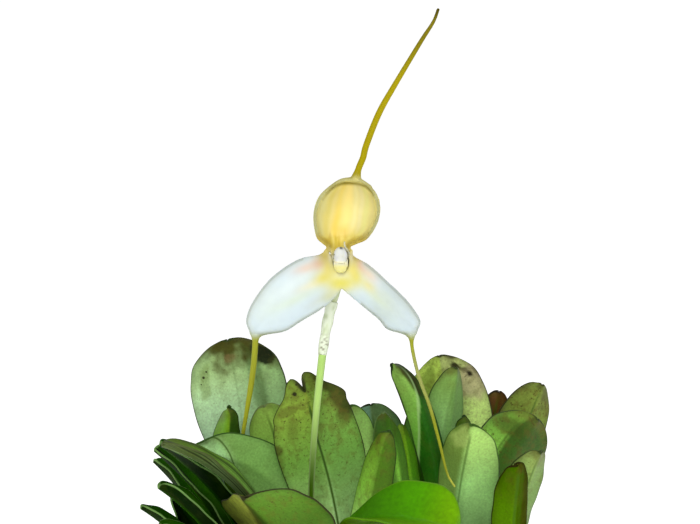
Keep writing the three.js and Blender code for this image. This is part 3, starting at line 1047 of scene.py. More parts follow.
LEAF_LOOKS: dict[str, LeafLook] = {
    "leaf_01": LeafLook(
        age=LeafAge.WORN, foot="#C6EEA7", middle="#7DB14B", tip="#899C34", left="#72A239", left_share=0.4,
        right="#5F9039", margin="#2E3312", rib=1.0, cap="#554A18", cap_from=1.0, cap_slant=-0.08,
        cap_ragged=0.13, cap_share=0.5, specks=0.85, lean=1.3,
        spots=((-11.3, 124.9, 0.45), (-10.95, 126.9, 0.22), (-10.1, 118.9, 0.15)),
        patches=(
            Patch("#333707", -0.86, 0.94, 0.3, 0.07, 0.9), Patch("#4E4A16", -0.74, 0.875, 0.14, 0.035, 0.5),
            Patch("#4C4A18", 0.95, 0.83, 0.16, 0.02, 0.75), Patch("#59581E", 0.62, 0.965, 0.3, 0.015, 0.55),
            Patch("#565A20", 0.5, 0.9, 0.14, 0.05, 0.4),
        ),
    ),
    "leaf_02": LeafLook(
        foot="#B4D3BE", middle="#B2D8A6", tip="#A4C47D", right="#8CB46C", right_share=0.62, crease=0.5,
        margin="#2F3D18", rib=0.2, cap="#3F400F", cap_from=0.925, cap_slant=-0.01, cap_share=1.0, specks=0.35,
        spots=((-31.4, 124.9, 0.3), (-30.8, 126.2, 0.22), (-31.9, 123.4, 0.16)),
        patches=(
            Patch("#141D06", -0.76, 0.945, 0.24, 0.032, 0.95, ragged=0.06, soft=0.08),
            # A painted shadow of the left tail, falling beside it.
            Patch("#5C7E48", -0.36, 0.87, 0.07, 0.07, 0.6, ragged=0.1),
            Patch("#6E5A34", 0.06, 0.955, 0.16, 0.014, 0.6, ragged=0.6),
            Patch("#93B276", 0.85, 0.93, 0.3, 0.05, 0.7, soft=0.4),
            Patch("#6F8440", 0.67, 0.89, 0.13, 0.05, 0.5, ragged=0.5),
            # The left tail's painted shadow, lower down.
            Patch("#3E5824", -0.49, 0.84, 0.09, 0.13, 0.6, ragged=0.1, soft=0.6),
        ),
    ),
    "leaf_03": LeafLook(
        age=LeafAge.WORN, foot="#6F9A58", middle="#4D7423", tip="#588227", left="#ABB74A", left_share=0.9,
        crease=0.2, meet=0.1, margin="#34351A", rib=1.0, cap="#7C8A4E", cap_from=1.05, specks=0.6,
        left_flare=0.8, patches=(Patch("#3A3512", 0.14, 0.9, 0.09, 0.25, 0.75, ragged=0.1),),
    ),
    "leaf_04": LeafLook(
        foot="#ACDD96", middle="#92C36F", tip="#A4D17E", left="#B8EC9E", left_share=0.9, right="#689B32",
        right_share=0.5, crease=0.25, meet=-1.06, swing=11.9, margin="#35561A", rib=0.8,
    ),
    "leaf_05": LeafLook(
        foot="#86B028", middle="#7FAC28", tip="#7FA826", left="#78B82A", right="#2F5214",
        right_share=0.95, crease=0.12, meet=0.02, margin="#2C4710", rib=0.0, point=0.8, nudge=-2.4,
        lean=5.0, left_wide=1.75, right_wide=0.85,
    ),
    "leaf_06": LeafLook(
        middle="#94D45A", tip="#A4CC59", right="#6A9640", crease=0.6, margin="#6C7C48", cap="#7C7A3A",
        cap_from=0.99,
    ),
    "leaf_07": LeafLook(
        foot="#7DA76B", middle="#94C871", tip="#A7D06C", left="#5C7524", left_share=0.8, crease=0.22,
        swing=0.85, margin="#3C5A1E", cap="#8A8A4A", cap_from=1.01, specks=0.2, point=0.62,
        patches=(
            Patch("#55783A", -0.1, 0.62, 0.6, 0.1, 0.4, ragged=0.15, soft=0.5),
            Patch("#A9C268", 0.4, 0.95, 0.4, 0.04, 0.6),
        ),
    ),
    "leaf_08": LeafLook(
        age=LeafAge.WORN, foot="#D1FF9E", middle="#96D149", tip="#699525", right="#446A12",
        right_share=0.85, margin="#2F4A14", rib=0.3, specks=0.6,
        patches=(Patch("#5A4C1E", 0.55, 0.96, 0.3, 0.025, 0.6),),
    ),
    # leaf_09: its pale rib line is a painted highlight along the fold.
    "leaf_09": LeafLook(
        foot="#6CAA44", middle="#73B540", tip="#85B04E", right="#175606", right_share=0.95, crease=0.1,
        meet=-0.51, swing=5.3, margin="#1C300C", rib=0.55, rib_tint="#A9CF86", cap="#2E2F10",
        cap_from=0.975, cap_slant=-0.1, specks=0.35,
        patches=(
            Patch("#2A260A", -0.42, 0.93, 0.36, 0.06, 0.85), Patch("#1E1C08", 0.95, 0.9, 0.1, 0.06, 0.7),
        ),
    ),
    "leaf_10": LeafLook(
        foot="#93C37A", middle="#9FD681", tip="#80AA51", right="#6A954A", right_share=0.75, swing=1.2,
        rib=0.25, specks=0.05, right_wide=0.86,
    ),
    "leaf_11": LeafLook(
        age=LeafAge.WORN, foot="#DBFF91", middle="#D4F68A", tip="#B5C372", left="#C0E155",
        left_share=0.75, margin="#363A18", rib=0.3, cap="#352E1C", cap_from=1.0, cap_slant=-0.06,
        cap_ragged=0.1, cap_share=0.9, specks=0.5, point=0.6, right_wide=1.06,
        patches=(
            Patch("#A89878", -0.7, 0.9, 0.4, 0.055, 0.7),
            Patch("#140F06", -0.48, 0.963, 0.15, 0.012, 0.97, ragged=0.5, soft=0.2),
            Patch("#1B1408", -0.76, 0.93, 0.1, 0.011, 0.97, ragged=0.5, soft=0.2),
            Patch("#3A3018", -0.64, 0.948, 0.14, 0.008, 0.8, ragged=0.3),
            Patch("#6F8A2E", 0.5, 0.93, 0.2, 0.06, 0.6),
        ),
    ),
    "leaf_12": LeafLook(
        age=LeafAge.WORN, middle="#9DE05E", tip="#699532", right="#24420F", right_share=0.85, meet=0.4,
        cap="#6E6E2E", cap_from=0.98, specks=0.8,
        patches=(
            Patch("#3E4A14", 0.5, 0.93, 0.4, 0.03, 0.6), Patch("#35420F", 0.75, 0.8, 0.14, 0.06, 0.5),
        ),
    ),
    "leaf_13": LeafLook(
        age=LeafAge.SHADED, foot="#72982A", middle="#57811D", tip="#40610D", right="#395406",
        right_share=0.9, margin="#2B260C", cap="#4B3F1A", cap_from=0.96, cap_ragged=0.15, specks=0.45,
        patches=(Patch("#3A3E0C", -0.85, 0.75, 0.42, 0.35, 0.85, ragged=0.2),),
    ),
    YOUNG_LEAF: LeafLook(
        age=LeafAge.YOUNG, foot="#3B7800", middle="#4C9600", tip="#6AA100", left="#628D04",
        left_share=0.8, crease=0.6, margin="#5E9414", rib=0.0, cap_from=NO_CAP, specks=0.0,
    ),
    "leaf_15": LeafLook(foot="#A8DD7B", middle="#BEF183", tip="#9CCE66", margin="#3F6024", rib=0.1),
    # leaf_16: its pale bluish left half is a painted reflection on the glossy face.
    "leaf_16": LeafLook(
        foot="#4C8A62", middle="#77C07E", tip="#6E8A58", left="#86B8A0", right="#3E6A34", right_share=0.4,
        margin="#24330F", cap="#55501C", cap_from=1.1,
    ),
    "leaf_17": LeafLook(
        middle="#A4F356", tip="#3E6E1B", left="#2C5A10", left_share=0.7, right="#548E30",
        margin="#5E7C40", rib=0.0, specks=0.3,
    ),
    "leaf_18": LeafLook(middle="#86D030", tip="#98D82C", right="#55AD1A", margin="#4C6E24", rib=0.0),
    "leaf_19": LeafLook(middle="#3E7C14", tip="#3A6C12", right="#245010", margin="#1E3A0A"),
    "leaf_20": LeafLook(
        age=LeafAge.WORN, foot="#7A703A", middle="#6A4A24", tip="#624218", left="#6E4A30", left_share=0.5,
        margin="#2A210B", cap="#3D310D", cap_from=1.02,
    ),
    "leaf_21": LeafLook(
        age=LeafAge.WORN, middle="#617B28", tip="#738534", margin="#33350F", cap="#4A4A1C", cap_from=0.98,
        cap_ragged=0.2, specks=1.0,
    ),
    "leaf_22": LeafLook(age=LeafAge.WORN, middle="#7CA24C", tip="#8CA856", right="#668840", specks=0.5),
    "leaf_23": LeafLook(
        age=LeafAge.WORN, foot="#A0BD87", middle="#9BBC7A", tip="#77904C", right="#2C3E16",
        right_share=0.55, margin="#4E5A2E", rib=0.0, cap_from=NO_CAP, streaks=1.0,
    ),
    **{f"leaf_{i}": FAN_LEAF for i in range(24, 31)},
    "leaf_24": replace(FAN_LEAF, left_wide=1.3, right_wide=1.45),
    "leaf_25": replace(FAN_LEAF, middle="#38751A", left_wide=1.3, right_wide=1.3),
    "leaf_26": replace(FAN_LEAF, middle="#3E8016", tip="#1E460A"),
    "leaf_44": replace(FAN_LEAF, left_wide=1.4, right_wide=1.4),
}


@dataclass
class Foliage:
    """The tuft of leaves."""

    seed: int = 3
    greens: tuple[str, ...] = ("#7FA763", "#86AD6C", "#6F9A4C", "#79A058", "#8DB27C")

    def build(self) -> None:
        """Builds every leaf over its node in the frame."""
        draw = random.Random(self.seed)
        upper = LeafTissue(LeafSide.UPPER).material()
        young = LeafTissue(LeafSide.UNDER, 0.3, 1.2, pore_mm=0.8, fade=0.85, olive=0.0).material()
        shaded = LeafTissue(LeafSide.UNDER, 0.5, 1.03, fullness=1.05).material()
        sound = LeafTissue(LeafSide.UNDER).material()
        worn = LeafTissue(LeafSide.UNDER, fade=0.68, olive=0.2, stain=0.42, cloud_mm=1.7).material()
        skins = {
            LeafAge.YOUNG: (young, young), LeafAge.SOUND: (upper, sound), LeafAge.WORN: (upper, worn),
            LeafAge.SHADED: (shaded, shaded),
        }
        for node in sorted(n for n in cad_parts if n.startswith("leaf_")):
            # Drawn leaves get a darker right half, painted shade.
            drawn = LeafLook(
                age=draw.choice((LeafAge.SOUND, LeafAge.SOUND, LeafAge.WORN)),
                foot=draw.choice(("#7FA56C", "#6C9850", "#5F8A48")), right="#4F7A34",
                right_share=draw.uniform(0.1, 0.6), middle=draw.choice(self.greens),
                tip=draw.choice(self.greens), cap_from=draw.uniform(0.96, 1.06),
                cap_ragged=draw.uniform(0.03, 0.1), specks=draw.uniform(0.1, 0.6),
            )
            look = LEAF_LOOKS.get(node, drawn)
            Leaf(node, look, *self.grid(node)).build(skins[look.age])

    def grid(self, node: str) -> tuple[int, int]:
        """Gives a leaf's columns and rows: many where it shows in front, few where it stands behind.

        Args:
            node: the leaf's node.

        Returns:
            The two numbers.
        """
        if node in ("leaf_01", "leaf_02"):
            return 38, 100
        if node in ("leaf_07", "leaf_11"):
            return 28, 72
        return (20, 56) if int(node[-2:]) <= 14 else (12, 40)


# ---- bloom


@dataclass(frozen=True)
class Blush:
    """A soft patch of colour, placed from the throat as the bloom is seen from the front."""

    colour: str
    x: float
    z: float
    wide: float
    high: float
    share: float = 1.0
    turn: float = 0.0  # in degrees, anticlockwise

    def over(self, base: Array, points: Array) -> Array:
        """Lays the patch over colours.

        Args:
            base: the colours so far.
            points: their places in millimetres from the throat.

        Returns:
            The new colours.
        """
        angle = math.radians(self.turn)
        dx, dz = points[:, 0] - self.x, points[:, 2] - self.z
        u = (dx * math.cos(angle) + dz * math.sin(angle)) / self.wide
        v = (dz * math.cos(angle) - dx * math.sin(angle)) / self.high
        return blend(base, (self.colour, self.share * np.exp(-(u * u + v * v))))


@dataclass(frozen=True)
class SepalTissue:
    """Finish of a fleshy sepal: a waxy, slightly see-through skin of tiny domed cells."""

    name: str
    roughness: float = 0.4
    index: float = 1.4
    mottle_mm: float = 2.2
    mottle: tuple[float, float] = (0.94, 1.06)  # how dark and how bright it makes the skin
    cell_mm: float = 0.35  # the cells are far finer, and are drawn as coarse as they need to show
    bump: float = 0.25
    bump_mm: float = 0.05
    glow: float = 0.12  # how much light passes through
    glow_mm: float = 0.9
    glow_radius: Point = (1.0, 0.9, 0.5)

    def material(self) -> Material:
        """Makes the material.

        Returns:
            A material that reads the piece's own skin colour.
        """
        made, tree, shader = new_material(self.name)
        place = add_node(tree, "TexCoord")["Object"]
        broad, cells = (
            add_node(tree, "TexNoise", {"Vector": place, "Scale": 1 / (size * MM), "Detail": detail})["Fac"]
            for size, detail in ((self.mottle_mm, 3.0), (self.cell_mm, 2.0))
        )
        skin = add_node(tree, "Attribute", attribute_name="skin")["Color"]
        gloss = add_node(tree, "Attribute", attribute_name="gloss")["Fac"]
        low, high = self.mottle
        shade = add_node(tree, "MapRange", {"Value": broad, "To Min": low, "To Max": high})["Result"]
        colour = add_node(tree, "VectorMath", {0: skin, "Scale": shade}, operation="SCALE")
        relief = add_node(
            tree, "Bump", {"Height": cells, "Strength": self.bump, "Distance": self.bump_mm * MM}
        )
        connect(
            shader,
            {
                "Base Color": colour["Vector"], "Normal": relief["Normal"], "Roughness": self.roughness,
                "IOR": self.index, "Specular IOR Level": gloss, "Subsurface Weight": self.glow,
                "Subsurface Radius": self.glow_radius, "Subsurface Scale": self.glow_mm * MM,
            },
        )
        return made


@dataclass
class Perianth:
    """The three sepals, joined at the throat, with their long tails. Points are in mm from the throat."""

    thickness: float = 0.75
    hood_depth: float = 5.6
    bowl: float = 0.86  # the share of the hood's width that is hollow
    flange: float = 0.4  # the hood's flat edge round its top
    roll: float = 0.35  # how far that edge rolls forwards
    crinkle: float = 0.17
    bulge: float = 1.5  # how far a lateral sepal swells forwards
    furrow: float = 0.45  # how deep its midline lies
    furrow_half: float = 0.22  # half the furrow's width, as a share of the half width
    cup_radius: float = 2.35
    cup_depth: float = 4.6
    mouth_radius: float = 1.63
    mouth_depths: tuple[float, float] = (-4.0, 1.9)
    mouth_height: float = 1.25  # against its width
    mouth_centre: tuple[float, float] = (0.2, -0.2)
    voxel: float = 0.17
    gloss: float = 0.35
    tail_dullness: float = 0.3  # how much less glossy the tails are
    hood_left: Route = (
        (-2.1, 1.4, 1.5), (-2.4, 1, 2.8), (-3.4, 0.2, 3.7), (-4.5, 0, 5), (-5, 0, 8.8),
        (-4.2, 0, 12.1), (-2.4, 0, 14.2), (0, -0.4, 16), (2.3, -0.9, 16.5),
    )
    hood_right: Route = (
        (2.1, 1.4, 1.5), (1.8, 1, 2.8), (3.6, 0.2, 3.7), (5.3, 0, 4.6), (7.1, 0, 7.4), (7.7, 0, 10.3),
        (7.1, 0, 12.9), (5.6, -0.4, 15.1), (3.9, -0.9, 16.3),
    )
    left_upper: Route = (
        (-2.6, 1.2, 2.2), (-4, 0.9, 0.9), (-8.4, 0.3, -0.1), (-13.6, 0, -3.7), (-17.3, 0.4, -8.6),
        (-18.6, 1, -12.1), (-18.1, 1.4, -14.2), (-17.8, 1.6, -15.4),
    )
    left_lower: Route = (
        (0.9, 1.2, -4.3), (-1.2, 1, -7.3), (-4, 0.7, -9.7), (-8, 0.4, -12.1), (-11, 0.6, -14),
        (-14.4, 1, -14.7), (-15.8, 1.4, -15.1), (-16.3, 1.6, -15.6),
    )
    right_upper: Route = (
        (2.2, 1.2, 2.2), (2.6, 1, 0.6), (5.6, 0.4, -1.1), (9.6, 0.2, -4.7), (13.4, 0.5, -8.5),
        (15.8, 1.1, -12.1), (15.5, 1.5, -13.9), (15, 1.7, -15.4),
    )
    right_lower: Route = (
        (-0.9, 1.2, -4.3), (1.2, 1.1, -6.1), (5, 0.9, -9.3), (7.9, 0.8, -11.7), (9.6, 1.1, -13.7),
        (12, 1.4, -14.5), (13.3, 1.6, -15), (13.7, 1.7, -15.6),
    )
    dorsal_tail: Route = (
        (3.05, -0.9, 15.9), (3.7, -0.7, 18.4), (4.6, -0.3, 20.6), (5.3, 0.3, 23.2), (7.8, 1.4, 29.4),
        (10.9, 2.2, 34.9), (16.1, 3.4, 43.5), (18.6, 4, 47.4), (19.7, 4.4, 50.2),
    )
    left_tail: Route = (
        (-17, 1.5, -14.9), (-17.2, 1.9, -18.2), (-17.6, 3.2, -22.2), (-18.4, 5.4, -27.4),
        (-19.2, 7.6, -31.8), (-20.2, 10, -37.4),
    )
    right_tail: Route = (
        (14.35, 1.6, -14.9), (14.6, 1.6, -18.2), (15.9, 1.2, -23.7), (18.1, 0.4, -29.7), (20, -0.4, -36.7),
        (21.6, -1.2, -43), (23.2, -1.8, -45.8),
    )
    # Each tail's radius at its tip, what its middle adds and what its root adds, in the order above.
    tail_radii: Route = ((0.34, 0.34, 0.5), (0.45, 0.2, 0.4), (0.25, 0.15, 0.48))
    shade_line: Route = (
        (-3.4, 0, 12), (-2.5, 0, 13.3), (-1.3, 0, 14.6), (-0.2, 0, 15.15), (1.4, 0, 15.35),
        (3.6, 0, 15.25), (5.1, 0, 14.8), (6.1, 0, 13.9), (6.8, 0, 12.6),
    )  # where the bowl tucks in under the flange
    bands: tuple[tuple[float, str, float, float], ...] = (
        (0.2, "#E1D376", 0.06, 0.8), (0.27, "#EBDB90", 0.045, 0.8), (0.36, "#F1DA6C", 0.06, 0.8),
        (0.5, "#FAE58E", 0.11, 1.0), (0.64, "#F0E6A4", 0.05, 0.9), (0.74, "#E7DEA6", 0.05, 0.9),
        (0.83, "#E0DD92", 0.05, 0.9), (0.92, "#D5CB8E", 0.04, 0.7),
    )  # the hood's inner bands: place across, colour, width and strength

    def hood_surface(self, across: Array, along: Array) -> Array:
        """Places the hood's sheet: a deep bowl, with a flange that faces forwards round its top.

        Args:
            across: places from the left margin, -1, to the right one, 1.
            along: places from the neck, 0, to the tail's root, 1.

        Returns:
            Points in millimetres from the throat.
        """
        left, right = through(self.hood_left, along), through(self.hood_right, along)
        span = right - left
        wide = np.linalg.norm(span, axis=1)
        spans = len(self.hood_left) - 1
        grown = (along * spans - 1) / (spans - 1)  # 0 where the neck ends and the bowl starts
        flange = np.minimum(self.flange * step(grown, 0.68, 0.97), 0.4 * wide) / wide
        angle = np.clip(across / self.bowl, -1, 1) * np.pi / 2
        share = flange + (1 - 2 * flange) * (np.sin(angle) + 1) / 2
        outer = np.clip((np.abs(across) - self.bowl) / (1 - self.bowl), 0, 1)
        share = np.where(across < -self.bowl, flange * (1 - outer), share)
        share = np.where(across > self.bowl, 1 - flange * (1 - outer), share)
        deep = self.hood_depth * np.sin(np.pi * np.clip(0.1 + 0.74 * grown, 0.03, 1)) ** 0.75
        deep = deep * step(grown, 0.935, 0.855)
        back = deep * np.clip(np.cos(angle), 0, 1) ** 0.8
        rolled = -self.roll * np.sin(np.pi * outer) * step(grown, 0.5, 0.85)
        # The right margin is crinkled in short uneven waves.
        wave = np.sin(along * 165 + 3 * np.sin(along * 41))
        points = left + span * share[:, None]
        points[:, 0] += self.crinkle * wave * step(across, 0.8, 1.0) * step(grown, 0.1, 0.3)
        points[:, 1] += back + rolled
        return points

    def lateral_surface(self, upper: Route, lower: Route) -> Surface:
        """Gives the surface of one lateral sepal, bulging forwards between its margins.

        Args:
            upper: its first margin, from the throat to the tail.
            lower: its second margin.

        Returns:
            The surface, in millimetres from the throat.
        """

        def surface(across: Array, along: Array) -> Array:
            """Places the sepal's points.

            Args:
                across: places across.
                along: places along.

            Returns:
                Points in millimetres.
            """
            angle = across * np.pi / 2
            share = ((np.sin(angle) + 1) / 2)[:, None]
            points = through(upper, along) * (1 - share) + through(lower, along) * share
            swell = np.sin(np.pi * (0.1 + 0.9 * along))
            points[:, 1] -= self.bulge * np.cos(angle) * swell
            # The midline lies in a faint furrow.
            points[:, 1] += self.furrow * hump(across, 0, self.furrow_half) * swell * step(along, 0.1, 0.35)
            return points

        return surface

    @staticmethod
    def tail_radius(end: float, more: float, flare: float) -> Radius:
        """Gives a tail's radius along it.

        Args:
            end: its radius at the tip.
            more: how much thicker its middle is.
            flare: how much thicker still it is where it leaves the sepal.

        Returns:
            The radius, from the share of the way along.
        """

        def radius(q: Array) -> Array:
            """Gives the radius in millimetres."""
            return end + more * step(q, 1, 0.45) + flare * step(q, 0.12, 0)

        return radius

    def turned(self, name: str, profile: Sequence[tuple[float, float]]) -> Piece:
        """Turns a closed profile of radius and depth about the throat's axis.

        Args:
            name: the piece's name.
            profile: radii and depths in millimetres.

        Returns:
            The solid.
        """
        known = np.array(profile, float)

        def surface(across: Array, along: Array) -> Array:
            """Places the points of the turned skin.

            Args:
                across: places across.
                along: places along.

            Returns:
                Points in millimetres.
            """
            steps = np.linspace(0, 1, len(known))
            r = np.interp(along, steps, known[:, 0])
            y = np.interp(along, steps, known[:, 1])
            angle = np.pi * across
            x = self.mouth_centre[0] + r * np.cos(angle)
            z = self.mouth_centre[1] + r * np.sin(angle) * self.mouth_height
            return np.stack([x, y, z], axis=1)

        return sheet(name, surface, 32, 6 * (len(known) - 1), closed=True)

    def build(self) -> Piece:
        """Builds the perianth and colours it.

        Returns:
            The piece.
        """
        hood = sheet("hood", self.hood_surface, 60, 108)
        left = sheet("left sepal", self.lateral_surface(self.left_upper, self.left_lower), 32, 72)
        right = sheet("right sepal", self.lateral_surface(self.right_upper, self.right_lower), 32, 72)
        for part in (hood, left, right):
            apply_modifier(part, "SOLIDIFY", thickness=self.thickness * MM, offset=0.0)
            edited(part, turn_outwards)
        sepals = joined([hood, left, right], "sepals")
        apply_modifier(sepals, "REMESH", mode="VOXEL", voxel_size=self.voxel * MM)
        front, back = self.mouth_depths
        r = self.mouth_radius
        mouth = self.turned("mouth", [(0, front), (r, front), (r, back), (0, back)])
        apply_modifier(sepals, "BOOLEAN", operation="DIFFERENCE", object=mouth, solver="EXACT")
        bpy.data.objects.remove(mouth)
        cup = self.turned(
            "cup",
            [
                (0, 3.7), (1.7, 3.1), (self.cup_radius - 0.7, 1.2), (self.cup_radius, 1.0),
                (self.cup_radius + 0.05, 1.6), (2.0, 3.7), (1.0, self.cup_depth), (0, self.cup_depth),
            ],
        )
        tails = [
            tube("tail", route, self.tail_radius(*radii), 10, 110)
            for route, radii in zip((self.dorsal_tail, self.left_tail, self.right_tail), self.tail_radii)
        ]
        piece = joined([sepals, cup, *tails], "perianth")
        apply_modifier(piece, "REMESH", mode="VOXEL", voxel_size=self.voxel * MM)
        apply_modifier(piece, "SMOOTH", factor=0.5, iterations=5)
        points = coordinates(piece)
        skin = self.skin(points, normals(piece))
        tail = np.maximum(step(points[:, 2], -14.5, -17.0), step(points[:, 2], 16.5, 18.5))
        gloss = self.gloss - self.tail_dullness * tail
        move_to(piece, points + THROAT)
        tissue = SepalTissue("fleshy sepal").material()
        nodes = ("dorsal_sepal", "lateral_sepals", "dorsal_tail", "left_tail", "right_tail")
        dress(piece, skin, gloss, tissue, "lateral_sepal", *nodes)
        return piece

    def skin(self, points: Array, facing: Array) -> Array:
        """Colours the sepals and tails.

        Args:
            points: places in millimetres from the throat.
            facing: the surface's normals.

        Returns:
            A linear colour for each point.
        """
        x, z = points[:, 0], points[:, 2]
        hood = self.hood_skin(points, facing)
        lateral = self.lateral_skin(points, facing)
        high = step(z, 0.6, 3.4)[:, None]
        colour = hood * high + lateral * (1 - high)
        # Sepals pass into their tails over a few millimetres.
        along_low = step(z, -13.9, -16.4)
        on_right, on_left = step(x, 5, 12), step(x, -5, -12)
        colour = blend(
            colour, ("#989C2E", along_low), ("#9CA258", along_low * on_right * step(z, -17, -22)),
            ("#92982A", along_low * on_right * step(z, -24, -34)),
            ("#A6A92C", along_low * on_left * step(z, -22, -32)),
        )
        along_high = step(z, 15.9, 17.6) * step(np.abs(x - 3.2), 2.2, 0.9)
        return blend(
            colour, ("#A09209", np.where(z > 17.8, 1.0, along_high)), ("#7A7010", step(z, 34, 46)),
            ("#4E4606", step(z, 47, 50)), ("#BFC252", 0.75 * step(x, 21.2, 22.4) * step(z, -40, -44)),
        )

    def hood_skin(self, points: Array, facing: Array) -> Array:
        """Colours the hood: soft upright bands inside, a pale flange with painted shadow under it, and thin
        dark margins that are partly painted edge shade.

        Args:
            points: places in millimetres from the throat.
            facing: the surface's normals.

        Returns:
            A linear colour for each point.
        """
        x, z = points[:, 0], points[:, 2]
        t = np.linspace(0, 1, 160)
        left, right = through(self.hood_left, t), through(self.hood_right, t)
        low = np.interp(z, left[:, 2], left[:, 0])
        high = np.interp(z, right[:, 2], right[:, 0])
        wander = 0.03 * rough(points, 3.0, 2.0)
        u = np.clip((x - low) / np.maximum(high - low, 0.5), 0, 1) + wander
        # The left side of the bowl is painted paler: painted light that lifts the shade where the bowl turns
        # from the key light.
        colour = blend(plain("#E4D98C", len(points)), ("#DEDCA4", 0.8 * step(u, 0.2, 0.08)))
        for place, code, wide, share in self.bands:
            colour = blend(colour, (code, share * hump(u, place, wide)))
        colour = blend(
            colour, ("#F2D766", 0.8 * hump(u, 0.34, 0.06) * step(z, 13.0, 6.5)),
            ("#F2D25E", 0.7 * hump(u, 0.5, 0.13) * step(z, 7.5, 5.2)), ("#D9C550", 0.8 * step(z, 5.4, 3.2)),
        )
        fine = rough(points * (4.0, 1.0, 0.5), 2.2, 4.0)
        colour = blend(
            colour, ("#C3A637", 0.55 * step(fine, 0.05, 0.5) * step(z, 6.6, 3.6)),
            ("#F6EBA0", 0.5 * step(fine, -0.1, -0.5) * step(z, 6.0, 3.8)),
            ("#E2D268", 0.6 * hump(x, 2.6, 1.3) * hump(z, 4.6, 1.2)),
        )
        inside = step(-facing[:, 1], -0.2, 0.2)
        outline = np.concatenate([left[20:], right[20:]])
        edge = gap_to(points, outline)
        top = step(z, 12.0, 14.0)
        line = through(self.shade_line, np.linspace(0, 1, 90))
        above = z - np.interp(x, line[:, 0], line[:, 2])
        near = gap_to(points, line)
        thick = 0.26 + 0.22 * step(z, 13.2, 15.0)
        # A pale band on the flange, and a dark painted shadow along the line where the bowl tucks in under
        # it.
        colour = blend(
            colour, ("#CCC47C", step(above, 0.0, 0.35) * top * inside),
            ("#857A22", hump(near, 0, thick) * (0.35 + 0.65 * top) * inside),
        )
        # The thin dark line at the margins and the soft greyish band inside them are partly the hood's own
        # grey-olive edge and partly painted edge shade.
        rim = step(edge, 0.5 + 0.12 * rough(points, 0.5, 7.0), 0.12)
        return blend(
            colour, ("#85855A", 0.85 * rim * (1 - 0.5 * top) * step(z, 3.0, 4.6)),
            ("#A8912E", 0.8 * step(edge, 1.1, 0.2) * step(z, 6.2, 4.4)),
            ("#BDBB7A", 0.3 * step(edge, 1.2, 0.3) * step(z, 4.0, 6.0) * (1 - top)),
            ("#D9D58C", 0.6 * (1 - inside)),
        )

    def lateral_skin(self, points: Array, facing: Array) -> Array:
        """Colours the lateral sepals: white, with a yellow and peach heart, painted shade on their swell and
        round the mouth, and greyish margins that are partly painted shade.

        Args:
            points: places in millimetres from the throat.
            facing: the surface's normals.

        Returns:
            A linear colour for each point.
        """
        colour = plain("#C9D8DE", len(points))
        # Soft patches over the white: the peach, pink and yellow ones are the sepals' own colours; the grey
        # and grey-green ones on the sepals are painted shade where they swell and fold, and the dark olive
        # ones just above the throat are painted shade on the wall round the mouth.
        patches = (
            ("#D2DED6", -14.5, -8.5, 5, 4, 0.7, 45), ("#BFCBC8", 11.6, -9.6, 4.4, 3.6, 0.75, -48),
            ("#D9E4E2", -9.6, -4.6, 5, 1.5, 0.8, 36), ("#CCD9BE", -8.6, -7.6, 5, 1, 0.6, 25),
            ("#C8D2AC", 7.6, -7.6, 3.6, 1, 0.6, -42), ("#C2CBC4", -4.6, -8.3, 2.6, 1.1, 0.7, 30),
            ("#B9C6BA", 8.2, -10.1, 3.2, 1, 0.6, -42), ("#C3CCB6", 9, -6.8, 2.2, 1.1, 0.5, -42),
            ("#CFC6BA", -8, -1.6, 2.2, 0.9, 0.6, 20), ("#C2C696", -2.2, -7.2, 1.7, 1.3, 0.7, 30),
            ("#E3DDB6", -5.9, -4.9, 3.2, 0.9, 0.6, 24), ("#DAD38E", 5.6, -4.9, 1.9, 1, 0.8, -42),
            ("#DCC4B6", -6.6, -1.4, 1.8, 0.9, 0.75, 20), ("#E2C6B0", 6, -2.6, 1.2, 2, 0.7, 45),
            ("#D9D07C", 0.2, -2.2, 4.6, 2.9, 0.95), ("#DAD27E", 0.2, -4.2, 2.6, 2.2, 0.95),
            ("#D6AC94", -4.2, -0.6, 1.5, 1.3, 0.75, 25), ("#D4A48C", 4.1, -0.9, 1, 1.5, 0.8, 35),
            ("#D8CC5A", -3.3, -3.4, 2, 1.2, 0.8, 25), ("#D8CC5A", 3.1, -3.1, 1.1, 1.8, 0.8, 20),
            ("#DCCD66", -2.5, -1.3, 0.9, 1.7, 0.7), ("#DCCD66", 2.7, -1.3, 0.9, 1.7, 0.7),
            ("#DEDCB4", 0.3, -3.2, 1.6, 0.9, 0.9), ("#DAD25A", 0.2, -4.6, 2.3, 1.3, 0.8),
            ("#C6B340", 0.2, 2.4, 3.6, 2.2, 1), ("#B5A136", -3.1, 1.2, 1.4, 1.9, 0.9),
            ("#B5A136", 3, 1.3, 1.2, 1.9, 0.9), ("#D6D0B4", -2, 1.4, 0.35, 1.4, 0.7),
            ("#D6D0B4", 2.4, 1.4, 0.35, 1.4, 0.6),
        )
        for patch in patches:
            colour = Blush(*patch).over(colour, points)
        # Along each margin, a soft grey band of painted shade where the swollen sepal turns from the light,
        # and a thin dark line at the edge itself.
        for upper, lower in ((self.left_upper, self.left_lower), (self.right_upper, self.right_lower)):
            for margin, wide in ((upper, 1.3), (lower, 0.9)):
                line = through(margin, np.linspace(0.26, 0.93, 80))
                gap = gap_to(points, line)
                colour = blend(
                    colour, ("#C2CAC0", 0.5 * step(gap, wide, 0.1)), ("#939A86", 0.45 * step(gap, 0.3, 0.05)),
                )
        # Deep in the cup, facing out through the mouth, dark olive painted shade; the backs of the sepals are
        # paler.
        return blend(
            colour, ("#A08C48", 0.9 * step(points[:, 1], 1.3, 2.4) * step(-facing[:, 1], -0.3, 0.1)),
            ("#DCE6CC", 0.5 * step(facing[:, 1], 0.0, 0.5)),
        )


